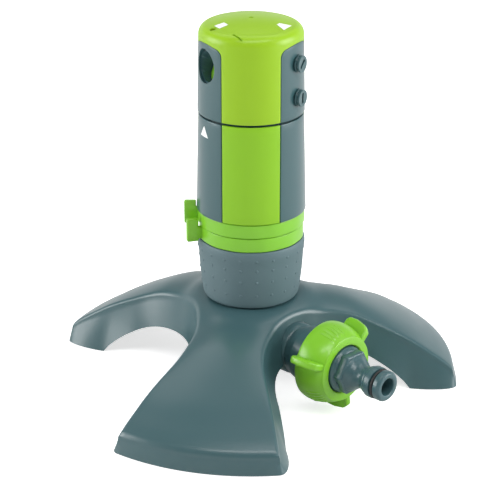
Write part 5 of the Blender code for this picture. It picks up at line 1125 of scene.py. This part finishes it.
def collar_pips():
    """Grow the rows of small pips from tiny triangles that face straight out of the collar."""
    points = []
    for height in PIP_ROWS:
        reach = smooth_curve(height, COLLAR_OUTSIDE) - PIP_SINK
        for number in range(PIPS_ROUND):
            angle = math.tau * (number + PIP_SHIFT) / PIPS_ROUND
            x, y, z = polar(reach, angle, height)
            for side, rise in arc((0.0, 0.0), PIP_SEED, 0.0, math.tau, 3)[:-1]:
                points.append((x - side * math.sin(angle), y + side * math.cos(angle), z + rise))
    pips = mesh_piece("pips", points, [(first, first + 1, first + 2) for first in range(0, len(points), 3)])
    grow = pips.modifiers.new("pips", "NODES")
    grow.node_group = collar_pips_tree()
    grow[socket_id(grow.node_group, "Skin")] = GRIP
    return baked(pips)


def make_collar():
    """Make the grip collar with its rows of small pips."""
    heights = spaced(COLLAR_TOP, COLLAR_BOTTOM, 56)
    outside = [(smooth_curve(height, COLLAR_OUTSIDE), height) for height in heights]
    collar = turned("collar", COLLAR_NECK + outside + COLLAR_INSIDE, 128)
    collar = merged("grip_collar_moulding", [collar, collar_pips()])
    finished(collar, "base", GRIP, ["grip_collar"])


def tab_outline(bore, low, high, tab_low):
    """Give a finger tab's outline, with a root inside the band and two rounded outer corners."""
    tab_top = tab_low + TAB_HEIGHT
    centre = TAB_TIP - TAB_CORNER
    inside = bore + TAB_SINK
    outline = [(inside, low + TAB_STEP), (TAB_ROOT, low + TAB_STEP), (TAB_ROOT, tab_low)]
    outline += arc((centre, tab_low + TAB_CORNER), TAB_CORNER, -QUARTER, QUARTER, 6)
    outline += arc((centre, tab_top - TAB_CORNER), TAB_CORNER, 0.0, QUARTER, 6)
    return outline + [(TAB_ROOT, tab_top), (TAB_ROOT, high - TAB_STEP), (inside, high - TAB_STEP)]


def make_ring(name, body, node, low, high, radius, bore, tab_angle, tab_low, stop):
    """Make one arc ring: a lightly scalloped band with a flat finger tab and the stop inside it."""

    def scallop(reach, angle, height):
        """Dip the band's outside in shallow waves, with a crest at the tab."""
        if reach <= radius - 1.0:
            return 0.0
        return -SCALLOP_DEPTH * (0.5 - 0.5 * math.cos(SCALLOPS * (angle - tab_angle)))

    profile = filleted([(bore, high), (radius, high), (radius, low), (bore, low)], 0.45, 4)
    band = turned(name + "_band", profile, 180, relief=scallop)
    tab = fin(name + "_tab", tab_outline(bore, low, high, tab_low), TAB_HALF)
    baked(rounded(tab, 0.45, 3, 50.0)).data.transform(Matrix.Rotation(tab_angle, 4, "Z"))
    inner, outer, stop_low, stop_high = stop
    finger = block(name + "_stop", (inner, -STOP_HALF, stop_low), (outer, STOP_HALF, stop_high), tab_angle)
    finished(merged(name, [band, tab, finger]), body, LIME_RING, [node])


# Inlet


def make_inlet():
    """Make the elbow: the pipe from the nut, its sleeve through the base and the riser on its flat foot."""
    elbow = turned("inlet_elbow_moulding", filleted(RISER, 0.6))
    cut(elbow, pointed_out(turned("inlet_pipe", filleted(PIPE, 0.4, 4)), INLET_HEIGHT), "UNION")
    for name, radius, start, end in BORES:
        cut(elbow, rod(name, radius, start, end, 64))
    for angle in FLANGE_ANGLES:
        ends = [polar(FLANGE_CIRCLE, angle, height) for height in FLANGE_SPAN]
        cut(elbow, rod("flange_hole", FLANGE_HOLE, *ends, 24))
    finished(elbow, "base", SLATE, ["inlet_elbow"])


def nut_rib(reach, angle, station):
    """Give the height of the short ribs on the nut's front, in three groups of five."""
    if reach <= NUT_PLAIN:
        return 0.0
    number = math.remainder(angle - WING_ANGLE - QUARTER - SIXTH, THIRD) / RIB_PITCH
    near = abs(number - round(number))
    if abs(round(number)) > 2 or near > RIB_WIDTH:
        return 0.0
    ends = smooth_step(station, RIB_START, RIB_START + 1.0) - smooth_step(station, RIB_END - 1.0, RIB_END)
    return RIB_HEIGHT * ends * (0.5 + 0.5 * math.cos(near / RIB_WIDTH * math.pi))


def make_nut():
    """Make the winged coupling nut."""
    profile = [(12.5, NUT_FRONT - 0.5), (13.0, NUT_FRONT), (16.4, NUT_FRONT), (16.9, NUT_FRONT - 0.2)]
    profile += [(smooth_curve(station, NUT_OUTSIDE), station) for station in spaced(*NUT_WALL, 26)]
    pieces = [turned("nut_shell", profile + NUT_INSIDE, 360, relief=nut_rib)]
    for turn in range(3):
        wing = baked(rounded(fin("wing", WING, WING_HALF), 1.2, 4, 20.0))
        wing.data.transform(Matrix.Rotation(WING_ANGLE + turn * THIRD + QUARTER, 4, "Z"))
        pieces.append(wing)
    nut = pointed_out(merged("coupling_nut_moulding", pieces), INLET_HEIGHT)
    finished(nut, "nut", LIME_RING, ["coupling_nut"], angle=40.0)


def make_adapter():
    """Make the hose adapter with its hexagon and click-on nipple, and the O-ring on the nipple."""
    body = turned("adapter_body", filleted(ADAPTER, 0.4))
    corners = [polar(HEXAGON_RADIUS, SIXTH * step + HEXAGON_TURN, HEXAGON_BACK) for step in range(6)]
    hexagon = rounded(extruded("hexagon", corners, (0.0, 0.0, HEXAGON_LENGTH)), 0.7, 3, 20.0)
    cut(hexagon, rod("hex_bore", HEXAGON_BORE, (0.0, 0.0, 60.0), (0.0, 0.0, 80.0)))
    adapter = pointed_out(merged("hose_adapter_moulding", [body, hexagon]), INLET_HEIGHT)
    finished(adapter, "base", SLATE, ["hose_adapter"])
    seal = turned("nipple_seal", arc(SEAL_CENTRE, SEAL_RADIUS, 0.0, math.tau, 20)[:-1])
    finished(pointed_out(seal, INLET_HEIGHT), "base", RUBBER, ["nose_o_ring"])


# Studio


def make_floor():
    """Lay the pale floor, which the camera sees as white apart from the shadow."""
    bpy.ops.mesh.primitive_plane_add(size=FLOOR_SIZE, location=(0.0, 0.0, -FLOOR_DROP))
    floor = bpy.context.object
    floor.name = "studio_floor"
    material, tree, shader = new_material("studio_floor")
    set_inputs(tree, shader, {"Base Color": FLOOR_COLOUR, "Roughness": 0.9, "Specular IOR Level": 0.1})
    seen = add_node(tree, "ShaderNodeLightPath").outputs["Is Camera Ray"]
    strength = worked_out(tree, "MULTIPLY", seen, FLOOR_GLOW)
    glow = add_node(tree, "ShaderNodeEmission", {"Color": WHITE, "Strength": strength})
    both = add_node(tree, "ShaderNodeAddShader", {0: shader.outputs["BSDF"], 1: glow.outputs["Emission"]})
    set_inputs(tree, tree.nodes["Material Output"], {"Surface": both.outputs["Shader"]})
    floor.data.materials.append(material)


def make_world():
    """Light the scene all round, brightest low down and behind, and show white behind the floor."""
    world = bpy.data.worlds.new("studio")
    world.use_nodes = True
    tree = world.node_tree
    way = add_node(tree, "ShaderNodeTexCoord").outputs["Generated"]
    height = add_node(tree, "ShaderNodeSeparateXYZ", {"Vector": way}).outputs["Z"]
    room = ranged(tree, height, 0.08, 0.5, WALL_LIGHT, CEILING_LIGHT, "SMOOTHSTEP")
    ahead = add_node(tree, "ShaderNodeVectorMath", {0: way, 1: FRONT_WAY}, operation="DOT_PRODUCT")
    front = ranged(tree, ahead.outputs["Value"], -0.05, 0.85, 1.0, FRONT_SHARE, "SMOOTHSTEP")
    seen = add_node(tree, "ShaderNodeLightPath").outputs["Is Camera Ray"]
    strength = mixed(tree, seen, worked_out(tree, "MULTIPLY", room, front), 1.0, "FLOAT")
    set_inputs(tree, tree.nodes["Background"], {"Color": WHITE, "Strength": strength})
    bpy.context.scene.world = world


def make_lights():
    """Hang a bright soft light overhead, a softer one behind it and one on each side, aimed at the object.

    Each place is how far the light is to the right of, in front of and above the object in the camera's view.
    """
    for name, (right, ahead, up), size, power in LIGHTS:
        data = bpy.data.lights.new(name, "AREA")
        data.shape = "RECTANGLE"
        data.size, data.size_y = size
        data.energy = power
        lamp = linked(name, data)
        lamp.location = RIGHT_WAY * right + FRONT_WAY * ahead + Vector((0.0, 0.0, up))
        lamp.rotation_euler = (LIGHT_TARGET - lamp.location).to_track_quat("-Z", "Y").to_euler()


def make_camera():
    """Stand the camera where the photograph was taken from."""
    data = bpy.data.cameras.new("camera")
    data.sensor_width = 36.0
    data.lens = LENS
    data.shift_x = LENS_SHIFT
    camera = linked("camera", data)
    camera.location = CAMERA_PLACE
    camera.rotation_euler = CAMERA_TURN
    bpy.context.scene.camera = camera


dress_cad_nodes()
make_base()
make_inlet()
make_nut()
make_adapter()
make_collar()
make_ring("lower_ring_moulding", "lower_ring", "arc_ring_lower", **LOWER_RING)
make_ring("upper_ring_moulding", "upper_ring", "arc_ring_upper", **UPPER_RING)
make_body()
make_cap()
cap_mark("jet_mark", JET_ANGLE, 14.0, 19.1, 2.1, 2.6)
cap_mark("fan_mark", FAN_ANGLE + math.radians(2.0), 14.8, 20.1, 1.4, 4.1)
body_mark()
make_head_panels()
make_jet_tube()
make_jet_nozzle()
make_fan_nozzles()
make_floor()
make_world()
make_lights()
make_camera()
bpy.context.scene.view_settings.view_transform = "Standard"
